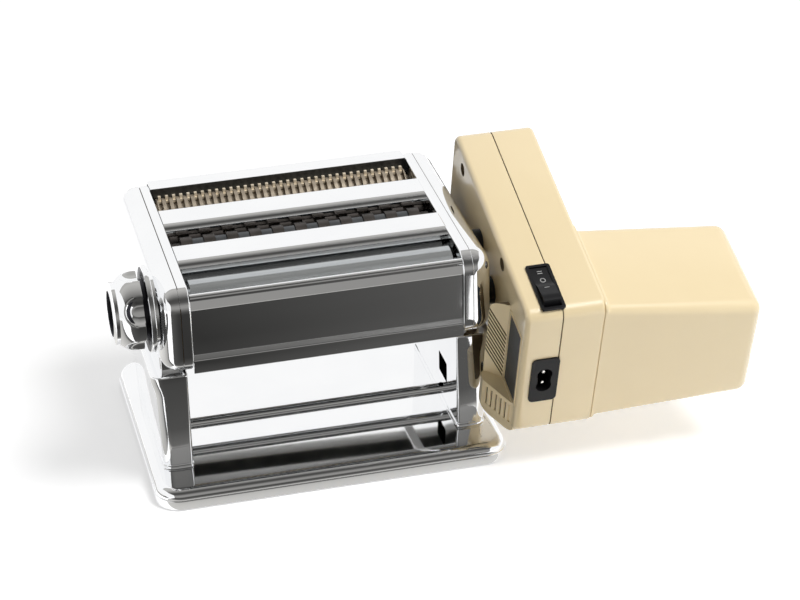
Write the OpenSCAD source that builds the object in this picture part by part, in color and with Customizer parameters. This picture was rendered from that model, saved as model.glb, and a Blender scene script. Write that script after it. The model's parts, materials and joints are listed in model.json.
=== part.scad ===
// Electric pasta maker: a chrome table-top roller machine with smooth rollers,
// two pairs of cutters and a plastic motor unit plugged into its right cheek.
// Millimetres. Origin: centre of the underside. +X towards the motor unit,
// +Y to the back, +Z up.

/* [Base] */
// Reach of the base tray beyond the inner face of each side frame
base_side = 26.5; // [24:0.5:36]
// Depth of the base tray, front to back
base_dep = 160; // [155:1:190]
// Height of the top of the base tray
base_h = 12.5; // [11:0.5:20]
// Plan radius of the tray corners
base_corner = 15; // [8:0.5:25]
// Height of the vertical skirt band of the tray
skirt_h = 6.6; // [5:0.1:7]
// Sheet thickness of the tray and the covers
sheet = 1.2; // [0.8:0.1:1.6]
// Thickness of the sole of the rubber mat
mat_t = 2; // [1.5:0.1:3]

/* [Frame] */
// Distance between the inner faces of the two side frames
inner_w = 155; // [153:0.5:160]
// Thickness of a side frame
frame_t = 1.5; // [1:0.1:1.8]
// Width of the rim of a side frame, up to the cover's seam
rim_w = 5.5; // [5:0.1:7]
// Depth of a cheek cover beyond the seam
cover_w = 12; // [11.5:0.1:14]
// Front face of the cheeks
cheek_front = -74; // [-78:0.5:-73]
// Rear face of the cheeks
cheek_back = 75; // [74:0.5:80]
// Underside of the cheeks
cheek_bottom = 83.5; // [80:0.5:86]
// Top of the cheeks and the hoods
cheek_top = 135.5; // [135:0.5:140]
// Corner radius of the cheeks, seen from the side
cheek_corner = 12; // [11.5:0.5:16]
// Edge radius of the cheek covers
cover_edge = 10.5; // [6:0.5:11]

/* [Legs] */
// Step from the inner face of a side frame out to a leg's inner face
leg_step = 1; // [0.5:0.1:2]
// Width of a leg, side to side
leg_w = 17; // [14:0.1:18]
// Front face of the legs
leg_front = -53.4; // [-60:0.1:-50]
// Rear face of the legs
leg_back = 50; // [40:1:60]
// Height where a leg starts to flare
flare_z = 60; // [50:1:65]
// Height of the top of a leg
leg_top = 73; // [70:0.5:76]
// Distance that the flare stands out
flare_w = 4; // [1:0.1:5]
// Lowest point of the window in the leg's inner wall
window_z = 29; // [26:1:34]
// Radius of the tie rod between the legs
tie_r = 3.5; // [2.5:0.1:4.5]
// Height of the tie rod above the base
tie_up = 9.9; // [8:0.1:13]
// Place of the tie rod, front to back
tie_y = -23; // [-30:0.5:-15]

/* [Rollers] */
// Gap between the end of a roller or cutter and the side frame
roller_side = 2.5; // [1.5:0.1:4.5]
// Radius of a smooth roller
roller_r = 13.5; // [12:0.1:13.8]
// Height of the smooth roller axes
roller_z = 118; // [116:0.1:119]
// Axis of the rear smooth roller, front to back
rear_roller_y = -24; // [-25:0.1:-23]
// Gap between the smooth rollers at the smallest setting
gap_min = 0.2; // [0.2:0.01:0.4]
// Change of the gap for one step of the knob
gap_step = 0.44; // [0.3:0.01:0.48]
// Radius of a roller journal
journal_r = 6; // [5:0.1:6.5]

/* [Cutters] */
// Radius of the cutter discs
cutter_r = 9.2; // [9:0.05:9.3]
// Distance between the two axes of a cutter pair
cutter_gap = 17.2; // [17:0.05:17.5]
// Height of the cutter axes
cutter_z = 122; // [120:0.1:122.5]
// Front axis of the wide pair
wide_y = 0.4; // [0:0.1:1]
// Front axis of the narrow pair
narrow_y = 36.4; // [36.2:0.1:37]
// Spacing of the wide discs on one shaft
wide_pitch = 13.4; // [12:0.1:15]
// Spacing of the narrow discs on one shaft
narrow_pitch = 4.3; // [4:0.05:5]
// Side play of a disc in the groove that faces it
disc_play = 0.1; // [0.05:0.01:0.2]
// Radius of the core between the discs
core_r = 6.2; // [5.8:0.1:6.5]
// Radius of a cutter journal
cutter_journal_r = 5; // [4:0.1:5.5]

/* [Hoods and panels] */
// Start of the front hood's rounded lip
hood1_front = -31.9; // [-33:0.1:-31]
// Rear edge of the front hood
hood1_back = -15.7; // [-17:0.1:-15]
// Start of the rear hood's rounded lip
hood2_front = 15.3; // [15:0.1:17]
// Rear edge of the rear hood
hood2_back = 30.8; // [29:0.1:31]
// Rear edge of the last feed slot
slot_back = 60; // [58:0.5:62]
// Radius of the hood lips
lip_r = 5; // [4:0.1:5.2]
// Lower edge of the rear panel, which leaves the way out of the cutters open
rear_low = 101; // [96:0.5:110]
// Place of the front panel's face
panel_y = -71.8; // [-73:0.1:-71]
// Top of the front panel
panel_top = 132.8; // [130:0.1:134]
// Height of the bead along the front panel
bead_z = 92.6; // [91:0.1:95]

/* [Regulator knob] */
// Radius of the knob's skirt
knob_r = 24.5; // [22:0.5:26]
// Radius of the knob's body
knob_body_r = 22; // [18:0.5:23]
// Length of the whole knob
knob_len = 22.5; // [20:0.5:26]
// Number of finger flutes
knob_flutes = 8; // [6:1:12]
// Distance that the knob pulls out
knob_pull = 3; // [2:0.5:4]
// Radius of the regulator shaft
reg_r = 4; // [3:0.1:4.5]
// Radius from the shaft to the pin that the cam drives
cam_pin_at = 9; // [8.5:0.1:9.5]

/* [Motor unit] */
// Tilt of the unit about the X axis
unit_tilt = 16.1; // [0:0.1:20]
// Gap between the right cheek and the inner face of the case
unit_gap = 6.1; // [5.5:0.1:9]
// Front top edge of the case, front to back
unit_y = -119.3; // [-122:0.1:-117]
// Front top edge of the case, height
unit_z = 118.3; // [116:0.1:122]
// Length of the case
case_len = 158; // [150:1:165]
// Height of the case
case_h = 95.5; // [92:0.5:100]
// Depth of the inner case half
inner_d = 21.2; // [20:0.1:22]
// Depth of the outer case half
outer_d = 26; // [22:0.5:28]
// Length of the motor housing beyond the outer half
housing_len = 93; // [88:1:110]
// Wall of the case
wall = 2.5; // [2:0.1:3]
// Radius of the case corners
case_corner = 7; // [6:0.5:10]
// Radius of the motor can
can_r = 21; // [18:0.5:22]

/* [Hidden] */
$fn = 64;

// Clearances, and the depth that a cut starts outside its piece
run_fit = 0.05;
slide_fit = 0.1;
free_gap = 0.3;
cut = 0.01;

// Base
lift = 0.8;
band_out = 0.5;
shoulder = base_h - skirt_h - band_out;
base_len = inner_w + 2 * base_side;
tray_under = base_h - sheet - cut;
mat_gap = 1.5;
mat_boss_r = 8;
screw_r = 2;
screw_head_r = 3.8;
screw_head_h = 2.4;
leg_floor = 3;
leg_screw_in = 22;

// Cheeks
frame_in = inner_w / 2;
frame_out = frame_in + frame_t;
seam_at = frame_in + rim_w;
cheek_out = seam_at + cover_w;
cover_in = cheek_out - sheet - cut;
cheek_l = cheek_back - cheek_front;
cheek_h = cheek_top - cheek_bottom;
rim_edge = 1.2;

// Legs
leg_in = frame_in + leg_step;
leg_out = leg_in + leg_w;
leg_corner = 6;
leg_inner_corner = 2;
neck_in = 2;
neck_inset = 5;
window_y = -30;
window_w = 18;
window_h = 13;
tie_z = base_h + tie_up;
nut_h = 4;
nut_r = 6;

// Rollers and the carriage that opens their gap
roller_len = inner_w - 2 * roller_side;
step_angle = 30;
steps_below = 2;
steps_above = 3;
gap_rest = gap_min + steps_below * gap_step;
front_roller_y = rear_roller_y - 2 * roller_r - gap_rest;
block_t = 3.6;
block_x = frame_out + slide_fit;
block_half = 11;
block_low = 93;
block_top = 130;
guide_h = 2.4;
bar_r = 2.5;
bar_z = 97;
carriage_back = steps_below * gap_step;
carriage_open = steps_above * gap_step;
collar_l = 1;

// Gears
press_angle = 28;
backlash = 0.3;
roller_teeth = 14;
roller_pitch_r = (2 * roller_r + gap_min) / 2;
roller_tip = 1.6;
gear_a = block_x + block_t + 0.4;
gear_a_w = 3.4;
gear_b = gear_a + gear_a_w + 0.3;
gear_b_w = 3.2;
cutter_teeth = 12;
cutter_tip = 1.2;
hub_r = 6;
socket_back = 2.6;
socket_end = cheek_out - socket_back;
socket_deep = 8;
socket_grip = 5.5;
hex_af = 6.8;
drive_hole_r = 7;
pin_hole_r = 4.15;
drive_y = [rear_roller_y, wide_y + cutter_gap, narrow_y + cutter_gap];
drive_z = [roller_z, cutter_z, cutter_z];
pin_from_drive = [-24, -20];

// Hoods
lip_leg = 1.5;

// Combs
comb_r = 8.4;
comb_t = 1.6;
comb_bar_at = 11.6;
comb_bar_r = 1.5;
comb_bar_angle = -60;
comb_play = 0.25;
tip_w = 1.8;
tip_top = 132.9;

// Regulator
cam_r = 13.2;
cam_t = 3.2;
cam_gap = 3.2;
cam_x = cover_in + cut - cam_gap - cam_t;
cam_pin_r = 1.8;
cam_play = 0.15;
knob_x = cheek_out + 2;
skirt_t = 3.2;
end_r = 14;
cap_recess_r = 12.6;
cap_recess = 3;
flute_r = 5.5;
flute_deep = 2.6;
index_pin_r = 1.3;
index_at = 17;
ring_t = 1.6;
ring_in = 12.5;
ring_out = 21;
spring_r = 6.6;
wire_r = 0.6;
spring_coils = 4;
spring_seat = 7.5;
screw_cap_t = 2.5;
shaft_end = knob_x + knob_len - cap_recess - knob_pull - screw_cap_t;
flat_at = 3;
flat_from = knob_x - 0.5;

// Motor unit, in its own frame: x along the machine's X from the seam, y up the
// switch face, z out of the switch face.
seam_x = cheek_out + unit_gap + inner_d;
case_edge = 3;
housing_w = 68;
housing_drop = 4.5;
far_w = 70;
far_top = -15.5;
far_up = 9.5;
far_low = far_up - case_h;
far_front = -2.5;
near_drop = 3.2;
near_r = 5;
far_r = 7;
housing_arc = 5;
motor_at = [28, -49];
out_at = [(drive_y[0] - unit_y) * cos(unit_tilt) + (drive_z[0] - unit_z) * sin(unit_tilt),
          -(drive_y[0] - unit_y) * sin(unit_tilt) + (drive_z[0] - unit_z) * cos(unit_tilt)];
m1 = 1.25;
m3 = 1.5;
t1 = [9, 36];
t2 = [10, 34];
t3 = [10, 28];
mesh_play = 0.1;
dist1 = m1 * (t1[0] + t1[1]) / 2 + mesh_play;
dist2 = m1 * (t2[0] + t2[1]) / 2 + mesh_play;
dist3 = m3 * (t3[0] + t3[1]) / 2 + mesh_play;
dir1 = -20;
g1_at = motor_at + dist1 * [cos(dir1), sin(dir1)];
g1_out = out_at - g1_at;
g1_out_d = norm(g1_out);
dir2 = atan2(g1_out[1], g1_out[0])
    - acos((dist2 * dist2 + g1_out_d * g1_out_d - dist3 * dist3) / (2 * dist2 * g1_out_d));
g2_at = g1_at + dist2 * [cos(dir2), sin(dir2)];
dir3 = atan2(out_at[1] - g2_at[1], out_at[0] - g2_at[0]);
axle_r = 3;
plate_x = 14;
plate_t = 3;
gear1_x = 6.5;
gear2_x = -0.5;
gear3_x = -10;
gear_w = 5;
shaft_r = 4;
spigot_r = 6.9;
case_screw_at = [[case_len - 22, -11], [case_len - 11, 11.5 - case_h], [44, 7 - case_h], [50, -7.2]];
case_screw_r = 1.6;
post_r = 5;
screw_well = 9;
screw_tip = 12;
switch_w = 14;
switch_l = 35.7;
switch_x = -5;
switch_y = 20.2;
switch_deep = 14;
rocker_tilt = 7;
inlet_w = 16.3;
inlet_h = 33.5;
inlet_x = -7;
inlet_z = -52.2;
inlet_deep = 16;
inlet_hole_r = 4.5;
inlet_pitch = 8.6;
plate_w = 21.3;
plate_h = 53;
plate_y = 5.2;
plate_z = -75;
label_t = 0.6;
label_in = 0.9;
label_play = 0.2;
bulge_d = 12;
bulge_r = 7;
bulge_edge = 4;
bulge_foot = 8;
bulge_slope = 9;
rib_deep = 1.2;
slope_root = 0.3;
bulge_y = [3.5, 36];
bulge_below = 4;
bulge_z = [-case_h - bulge_below, -19];
lip_w = 1.2;
rib_pitch = 3.4;
slit_w = 1.7;

// ---------- shared shapes ----------

module xcyl(r, x0, x1, y = 0, z = 0) {
    translate([x0, y, z]) rotate([0, 90, 0]) cylinder(r = r, h = x1 - x0);
}

// Extrudes a (y, z) outline along X
module along_x(x0, x1) {
    translate([x0, 0, 0]) rotate([90, 0, 90]) linear_extrude(height = x1 - x0) children();
}

// Rounded rectangle with corner radius r, from [0, 0] to [l, d]
module round_rect(l, d, r) {
    translate([r, 0]) square([l - 2 * r, d]);
    translate([0, r]) square([l, d - 2 * r]);
    for (x = [r, l - r]) for (y = [r, d - r]) translate([x, y]) circle(r);
}

module edge_outline(w, h, re) {
    square([w, h - re]);
    square([w - re, h]);
    translate([w - re, h - re]) intersection() {
        circle(re);
        square(re);
    }
}

// Box from [0, 0, 0] to [l, d, h] with plan radius rc and a top edge radius re
module soft_box(l, d, h, rc, re) {
    translate([rc, rc, 0]) cube([l - 2 * rc, d - 2 * rc, h]);
    for (i = [0, 1]) {
        translate([l / 2 + (2 * i - 1) * (l / 2 - rc), d / 2, 0])
            rotate([90, 0, i == 1 ? 0 : 180])
                translate([0, 0, rc - d / 2]) linear_extrude(height = d - 2 * rc)
                    edge_outline(rc, h, re);
        translate([l / 2, d / 2 + (2 * i - 1) * (d / 2 - rc), 0])
            rotate([90, 0, i == 1 ? 90 : 270])
                translate([0, 0, rc - l / 2]) linear_extrude(height = l - 2 * rc)
                    edge_outline(rc, h, re);
    }
    for (i = [0, 1]) for (j = [0, 1])
        translate([i == 1 ? l - rc : rc, j == 1 ? d - rc : rc, 0])
            rotate([0, 0, i == 1 ? (j == 1 ? 0 : 270) : (j == 1 ? 90 : 180)])
                rotate_extrude(angle = 90) edge_outline(rc, h, re);
}

// A soft box whose foot lies at x = 0 and whose rounded face looks along +X
module soft_side(l, d, h, rc, re) {
    rotate([90, 0, 90]) soft_box(l, d, h, rc, re);
}

function inv_deg(a) = tan(a) * 180 / PI - a;

// Half angle of a gear tooth at radius r
function flank(r, pitch_r, teeth) =
    (PI * pitch_r / teeth - backlash / 2) / 2 / pitch_r * 180 / PI
    + inv_deg(press_angle) - inv_deg(acos(min(1, pitch_r * cos(press_angle) / r)));

// Involute gear outline with its first tooth along the first axis
module gear_outline(teeth, pitch_r, tip_r, root_r) {
    base_r = max(root_r + 0.1, pitch_r * cos(press_angle));
    radii = [root_r, base_r, (base_r + pitch_r) / 2, pitch_r, (pitch_r + tip_r) / 2, tip_r];
    polygon([for (i = [0 : teeth - 1]) for (s = [-1, 1]) for (k = [0 : 5])
        let (r = radii[s < 0 ? k : 5 - k], a = 360 * i / teeth + s * flank(r, pitch_r, teeth))
        [r * cos(a), r * sin(a)]]);
}

// A gear on an X axis at [y, z], with a tooth at turn degrees
module gear_x(teeth, pitch_r, tip, x0, w, at, turn, bore_r) {
    difference() {
        translate([0, at[0], at[1]]) along_x(x0, x0 + w) rotate(turn)
            gear_outline(teeth, pitch_r, pitch_r + tip, pitch_r - tip - 0.25);
        xcyl(bore_r, x0 - 1, x0 + w + 1, at[0], at[1]);
    }
}

module mirrored(side) {
    if (side < 0) mirror([1, 0, 0]) children();
    else children();
}

module in_unit() {
    translate([seam_x, unit_y, unit_z]) rotate([unit_tilt, 0, 0]) children();
}

// ---------- base and legs ----------

module tray_form(inset) {
    c = base_corner - inset;
    translate([inset - base_len / 2, inset - base_dep / 2, lift]) {
        translate([band_out, band_out, 0])
            soft_box(base_len - 2 * (inset + band_out), base_dep - 2 * (inset + band_out),
                base_h - lift - inset, c - band_out, shoulder - inset);
        soft_box(base_len - 2 * inset, base_dep - 2 * inset, skirt_h - lift - inset, c, band_out);
    }
}

module leg_screw_places() {
    for (x = [-1, 1]) for (y = [leg_front + leg_screw_in, leg_back - leg_screw_in])
        translate([x * (leg_in + leg_out) / 2, y, 0]) children();
}

module base_tray() {
    color([0.86, 0.87, 0.88]) difference() {
        tray_form(0);
        translate([0, 0, -cut]) tray_form(sheet);
        leg_screw_places() cylinder(r = screw_r, h = base_h + 1);
    }
}

module base_mat() {
    inset = sheet + mat_gap;
    color([0.12, 0.12, 0.12]) {
        translate([inset - base_len / 2, inset - base_dep / 2, 0])
            linear_extrude(height = mat_t)
                round_rect(base_len - 2 * inset, base_dep - 2 * inset, base_corner - inset);
        for (x = [-0.38, 0, 0.38]) for (y = [-0.4, 0.4])
            translate([x * base_len, y * base_dep, 0])
                cylinder(r = mat_boss_r, h = tray_under);
    }
}

module leg_plan(inset) {
    d = leg_back - leg_front - 2 * inset;
    w = leg_out - leg_in - 2 * inset;
    ro = leg_corner - inset;
    ri = leg_inner_corner - inset;
    translate([leg_in + inset, leg_front + inset]) {
        translate([ri, 0]) square([w - ri - ro, d]);
        translate([0, ri]) square([w / 2, d - 2 * ri]);
        translate([w / 2, ro]) square([w / 2, d - 2 * ro]);
        for (y = [ri, d - ri]) translate([ri, y]) circle(ri);
        for (y = [ro, d - ro]) translate([w - ro, y]) circle(ro);
    }
}

// The flared top of a leg, grown outwards by flare_w
module leg_flare(inset) {
    hull() {
        translate([0, 0, flare_z]) linear_extrude(height = 0.1) leg_plan(inset);
        translate([0, 0, leg_top - 1.5]) linear_extrude(height = 0.1) {
            leg_plan(inset);
            translate([flare_w, 0]) leg_plan(inset);
        }
    }
}

module leg_neck(inset) {
    translate([leg_in + neck_in + inset, leg_front + neck_inset + inset, 0])
        square([leg_out - leg_in - 2 * neck_in - 2 * inset,
            leg_back - leg_front - 2 * (neck_inset + inset)]);
}

module leg_body() {
    difference() {
        union() {
            translate([0, 0, base_h]) linear_extrude(height = flare_z - base_h) leg_plan(0);
            leg_flare(0);
            translate([0, 0, leg_top - 1.5]) linear_extrude(height = 1.5) {
                leg_plan(0);
                translate([flare_w, 0]) leg_plan(0);
            }
            translate([0, 0, leg_top - 1]) linear_extrude(height = cheek_bottom - leg_top + 1)
                leg_neck(0);
        }
        translate([0, 0, base_h + leg_floor]) linear_extrude(height = flare_z - base_h - leg_floor + 0.01)
            leg_plan(sheet);
        translate([0, 0, flare_z - 0.1]) linear_extrude(height = leg_top - sheet - flare_z)
            leg_plan(sheet);
        translate([0, 0, leg_top - 3]) linear_extrude(height = cheek_bottom - leg_top + 4)
            leg_neck(sheet);
        translate([leg_in - 1, window_y, window_z]) cube([sheet + 2, window_w, window_h]);
        xcyl(tie_r, leg_in - 1, leg_in + sheet + 1, tie_y, tie_z);
        leg_screw_places() cylinder(r = screw_r, h = base_h + leg_floor + 1);
    }
}

module left_leg() { color([0.84, 0.85, 0.87]) mirrored(-1) leg_body(); }
module right_leg() { color([0.84, 0.85, 0.87]) leg_body(); }

module tie_rod() {
    end = leg_in + sheet + nut_h;
    color([0.8, 0.81, 0.83]) xcyl(tie_r, -end, end, tie_y, tie_z);
}

module tie_rod_nuts() {
    color([0.6, 0.61, 0.63]) for (side = [-1, 1]) mirrored(side) difference() {
        translate([leg_in + sheet, tie_y, tie_z]) rotate([0, 90, 0])
            cylinder(r = nut_r, h = nut_h, $fn = 6);
        xcyl(tie_r, leg_in, leg_in + sheet + nut_h + 1, tie_y, tie_z);
    }
}

// ---------- side frames, cheeks and the parts between them ----------

spacer_at = [[-33, 90], [3, 92], [37, 92], [66, 92]];
spacer_r = 3.5;

module side_frame_body() {
    wall_l = cheek_l - 2 * frame_t;
    wall_h = cheek_h - 2 * frame_t;
    difference() {
        translate([seam_at, cheek_back, cheek_bottom]) mirror([1, 0, 0]) mirror([0, 1, 0])
            soft_side(cheek_l, cheek_h, rim_w, cheek_corner, rim_edge);
        translate([frame_out, cheek_front + frame_t, cheek_bottom + frame_t])
            along_x(0, rim_w) round_rect(wall_l, wall_h, cheek_corner - frame_t);
        xcyl(bush_r(journal_r), frame_in - 1, frame_out + 1, rear_roller_y, roller_z);
        for (y = cutter_ys())
            xcyl(bush_r(cutter_journal_r), frame_in - 1, frame_out + 1, y, cutter_z);
        carriage_slot(journal_r, roller_z);
        carriage_slot(bar_r, bar_z);
        for (p = spacer_at) xcyl(screw_r, frame_in - 1, frame_out + 1, p[0], p[1]);
    }
}

function bush_r(shaft) = shaft + 2;
function cutter_ys() = [wide_y, wide_y + cutter_gap, narrow_y, narrow_y + cutter_gap];

// Slot in the wall for a shaft that moves with the bearing blocks
module carriage_slot(r, z) {
    play = 0.6;
    x0 = frame_in - 1;
    x1 = frame_out + 1;
    y0 = front_roller_y - carriage_open;
    y1 = front_roller_y + carriage_back;
    for (y = [y0, y1]) xcyl(r + play, x0, x1, y, z);
    translate([x0, y0, z - r - play]) cube([x1 - x0, y1 - y0, 2 * (r + play)]);
}

module left_side_frame() { color([0.85, 0.86, 0.88]) mirrored(-1) side_frame_body(); }
module right_side_frame() { color([0.85, 0.86, 0.88]) side_frame_body(); }

module cover_body() {
    difference() {
        translate([seam_at, cheek_front, cheek_bottom])
            soft_side(cheek_l, cheek_h, cover_w, cheek_corner, cover_edge);
        translate([seam_at - cut, cheek_front + sheet, cheek_bottom + sheet])
            soft_side(cheek_l - 2 * sheet, cheek_h - 2 * sheet, cover_w - sheet,
                cheek_corner - sheet, cover_edge - sheet);
    }
}

module left_cheek_cover() {
    color([0.88, 0.89, 0.9]) difference() {
        mirrored(-1) cover_body();
        xcyl(bush_r(reg_r), -cheek_out - 1, -cover_in + 1, front_roller_y, roller_z);
    }
}

module right_cheek_cover() {
    color([0.88, 0.89, 0.9]) difference() {
        cover_body();
        for (i = [0 : 2]) {
            xcyl(drive_hole_r, socket_end, cheek_out + 1, drive_y[i], drive_z[i]);
            xcyl(pin_hole_r, socket_end, cheek_out + 1,
                drive_y[i] + pin_from_drive[0], drive_z[i] + pin_from_drive[1]);
        }
    }
}

module front_panel() {
    y = panel_y;
    top_r = 2.2;
    bead_r = 1.5;
    bead_drop = 2.4;
    low = cheek_bottom + 0.6;
    lip_in = 4;
    crease_down = 7.2;
    crease_r = 0.8;
    color([0.3, 0.3, 0.3]) along_x(-frame_in, frame_in) {
        translate([y + top_r, panel_top - top_r]) circle(top_r);
        translate([y + 0.6, bead_z - bead_drop])
            square([sheet, panel_top - top_r - bead_z + bead_drop]);
        translate([y + bead_r, bead_z]) circle(bead_r);
        translate([y + 0.9, panel_top - crease_down]) circle(crease_r);
        polygon([[y + lip_in, low], [y + lip_in + sheet, low],
            [y + 0.6 + sheet, bead_z - bead_drop + 1], [y + 0.6, bead_z - bead_drop]]);
    }
}

module rear_panel() {
    y = cheek_back - 1;
    color([0.84, 0.85, 0.86]) along_x(-frame_in, frame_in) {
        translate([y - sheet, rear_low]) square([sheet, cheek_top - rear_low - 2.4]);
        translate([slot_back, cheek_top - sheet]) square([y - slot_back - 2.5, sheet]);
        translate([y - 3.1, cheek_top - 3.1]) intersection() {
            circle(3.1);
            square(3.1);
        }
        translate([slot_back, cheek_top - 6]) square([sheet, 5]);
    }
}

// Hood between two slots: flat top, rounded lip at the front, a tab at each end
module hood(front, back) {
    along_x(-frame_in, frame_in) translate([front - lip_r, cheek_top - lip_r - lip_leg])
        square([1, lip_leg + 0.1]);
    along_x(-frame_in, frame_in) difference() {
        union() {
            translate([front, cheek_top - sheet]) square([back - front, sheet]);
            translate([front, cheek_top - lip_r]) circle(lip_r);
        }
        translate([front, cheek_top - lip_r]) circle(lip_r - 1);
        translate([front - lip_r, cheek_top - 2 * lip_r]) square([2 * lip_r, lip_r]);
        translate([front, cheek_top - lip_r - 1]) square([lip_r, lip_r + 1 - sheet]);
    }
    for (side = [-1, 1]) mirrored(side)
        translate([frame_in - sheet, front + 1.5, cheek_top - 8])
            cube([sheet, back - front - 3, 7.5]);
}

module front_hood() { color([0.9, 0.91, 0.92]) hood(hood1_front, hood1_back); }
module rear_hood() { color([0.9, 0.91, 0.92]) hood(hood2_front, hood2_back); }

module frame_spacers() {
    color([0.7, 0.71, 0.72]) for (p = spacer_at) difference() {
        xcyl(spacer_r, -frame_in, frame_in, p[0], p[1]);
        for (s = [-1, 1]) mirrored(s) xcyl(screw_r, frame_in - 10, frame_in + 1, p[0], p[1]);
    }
}

module frame_screws() {
    color([0.75, 0.76, 0.77]) {
        for (p = spacer_at) for (side = [-1, 1]) mirrored(side) {
            xcyl(screw_r, frame_in - 9, frame_out + 0.5, p[0], p[1]);
            xcyl(screw_head_r, frame_out, frame_out + screw_head_h, p[0], p[1]);
        }
        leg_screw_places() {
            translate([0, 0, tray_under - screw_head_h])
                cylinder(r = screw_head_r, h = screw_head_h);
            translate([0, 0, tray_under - 0.5])
                cylinder(r = screw_r, h = leg_floor + sheet + 0.5);
        }
    }
}

// Blade that ends close under a smooth roller
module scraper(roller_y, side, gap) {
    a = -60;
    edge = [roller_y + side * (roller_r + gap) * cos(a), roller_z + (roller_r + gap) * sin(a)];
    foot = edge + [side * 6, -9];
    along_x(-frame_in, frame_in)
        polygon([edge, edge + [side * 1.2, 0.1], foot + [side * 1.4, 0], foot]);
}

module roller_scrapers() {
    color([0.75, 0.76, 0.77]) {
        scraper(rear_roller_y, 1, free_gap);
        scraper(front_roller_y, -1, free_gap + carriage_open);
    }
}

// ---------- combs ----------

// Finger in the (y, z) plane around a core, opened towards the nip on its left
module finger_outline(tip) {
    difference() {
        circle(comb_r);
        circle(comb_r - comb_t);
        rotate(95) square(20);
        rotate(175) square(20);
    }
    rotate(comb_bar_angle) translate([comb_r - 1, -1]) square([comb_bar_at - comb_r + 1, 2]);
    if (tip) translate([0.4, comb_r - comb_t]) square([tip_w, tip_top - cutter_z - comb_r + comb_t]);
}

module comb(axis_y, side, xs, w, tip) {
    for (x = xs) along_x(x - w / 2, x + w / 2)
        translate([axis_y, cutter_z]) mirror([side < 0 ? 1 : 0, 0]) finger_outline(tip);
    xcyl(comb_bar_r, -frame_in, frame_in,
        axis_y + side * comb_bar_at * cos(comb_bar_angle),
        cutter_z + comb_bar_at * sin(comb_bar_angle));
}

wide_n = floor((roller_len - wide_pitch / 2) / wide_pitch / 2);
wide_xs = [for (i = [-wide_n : wide_n]) i * wide_pitch];
wide_mids = [for (i = [-wide_n : wide_n - 1]) (i + 0.5) * wide_pitch];
narrow_n = floor((roller_len - narrow_pitch / 2) / narrow_pitch / 2);
narrow_xs = [for (i = [-narrow_n : narrow_n]) i * narrow_pitch];
narrow_mids = [for (i = [-narrow_n : narrow_n - 1]) (i + 0.5) * narrow_pitch];

module wide_combs() {
    w = wide_pitch / 2 - 2 * comb_play;
    color([0.72, 0.7, 0.62]) {
        comb(wide_y, -1, wide_mids, w, false);
        comb(wide_y + cutter_gap, 1, wide_xs, w, false);
    }
}

module narrow_combs() {
    w = narrow_pitch / 2 - 2 * comb_play;
    color([0.78, 0.7, 0.5]) {
        comb(narrow_y, -1, narrow_mids, w, false);
        comb(narrow_y + cutter_gap, 1, narrow_xs, w, true);
    }
}

// ---------- bushes, guides and the bearing blocks ----------

module bush(r, y, z) {
    difference() {
        union() {
            xcyl(bush_r(r), frame_in, frame_out + 1, y, z);
            xcyl(bush_r(r) + 1.2, frame_out, frame_out + 1, y, z);
        }
        xcyl(r + run_fit, frame_in - 1, frame_out + 3, y, z);
    }
}

module roller_bushes() {
    color([0.75, 0.62, 0.35]) for (side = [-1, 1]) mirrored(side)
        bush(journal_r, rear_roller_y, roller_z);
}

module cutter_bushes() {
    color([0.75, 0.62, 0.35]) for (side = [-1, 1]) for (y = cutter_ys()) mirrored(side)
        bush(cutter_journal_r, y, cutter_z);
}

module block_guides() {
    l = 2 * block_half + 6;
    color([0.6, 0.61, 0.62]) for (side = [-1, 1]) mirrored(side)
        for (z = [block_top + slide_fit, block_low - slide_fit - guide_h])
            translate([frame_out, front_roller_y - l / 2, z]) cube([block_t, l, guide_h]);
}

module block_body() {
    difference() {
        translate([block_x, front_roller_y - block_half, block_low])
            cube([block_t, 2 * block_half, block_top - block_low]);
        xcyl(journal_r + run_fit, block_x - 1, block_x + block_t + 1, front_roller_y, roller_z);
        xcyl(bar_r, block_x - 1, block_x + block_t + 1, front_roller_y, bar_z);
    }
}

module left_bearing_block() {
    color([0.55, 0.56, 0.57]) {
        mirrored(-1) block_body();
        xcyl(cam_pin_r, -cam_x - cam_t, -block_x - block_t,
            front_roller_y - cam_pin_at, roller_z);
    }
}

module right_bearing_block() { color([0.55, 0.56, 0.57]) block_body(); }

module carriage_bar() {
    end = block_x + block_t;
    color([0.7, 0.71, 0.72]) xcyl(bar_r, -end, end, front_roller_y, bar_z);
}

// ---------- rollers and gears ----------

half_len = roller_len / 2;

module roller(y, left_end, right_end) {
    xcyl(roller_r, -half_len, half_len, y, roller_z);
    xcyl(journal_r + 2.5, -half_len - collar_l, half_len + collar_l, y, roller_z);
    xcyl(journal_r, -left_end, right_end, y, roller_z);
}

module hex_hole(x0, x1, y, z, af) {
    translate([x0, y, z]) rotate([0, 90, 0])
        cylinder(r = af / sqrt(3), h = x1 - x0, $fn = 6);
}

// Gives a shaft the hub and the six-sided socket that a crank or the motor unit turns
module with_socket(y, z, from) {
    difference() {
        union() {
            children();
            xcyl(hub_r, from - 0.01, socket_end, y, z);
        }
        hex_hole(socket_end - socket_deep, socket_end + 1, y, z, hex_af + 2 * slide_fit);
    }
}

module front_roller() {
    color([0.8, 0.81, 0.82])
        roller(front_roller_y, block_x + block_t - 0.3, gear_a + gear_a_w);
}

module rear_roller() {
    y = rear_roller_y;
    color([0.78, 0.79, 0.8]) with_socket(y, roller_z, gear_a + gear_a_w)
        roller(y, frame_out + 1.6, gear_a + gear_a_w);
}

module front_roller_gear() {
    color([0.6, 0.6, 0.62]) gear_x(roller_teeth, roller_pitch_r, roller_tip, gear_a, gear_a_w,
        [front_roller_y, roller_z], 0, journal_r);
}

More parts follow.
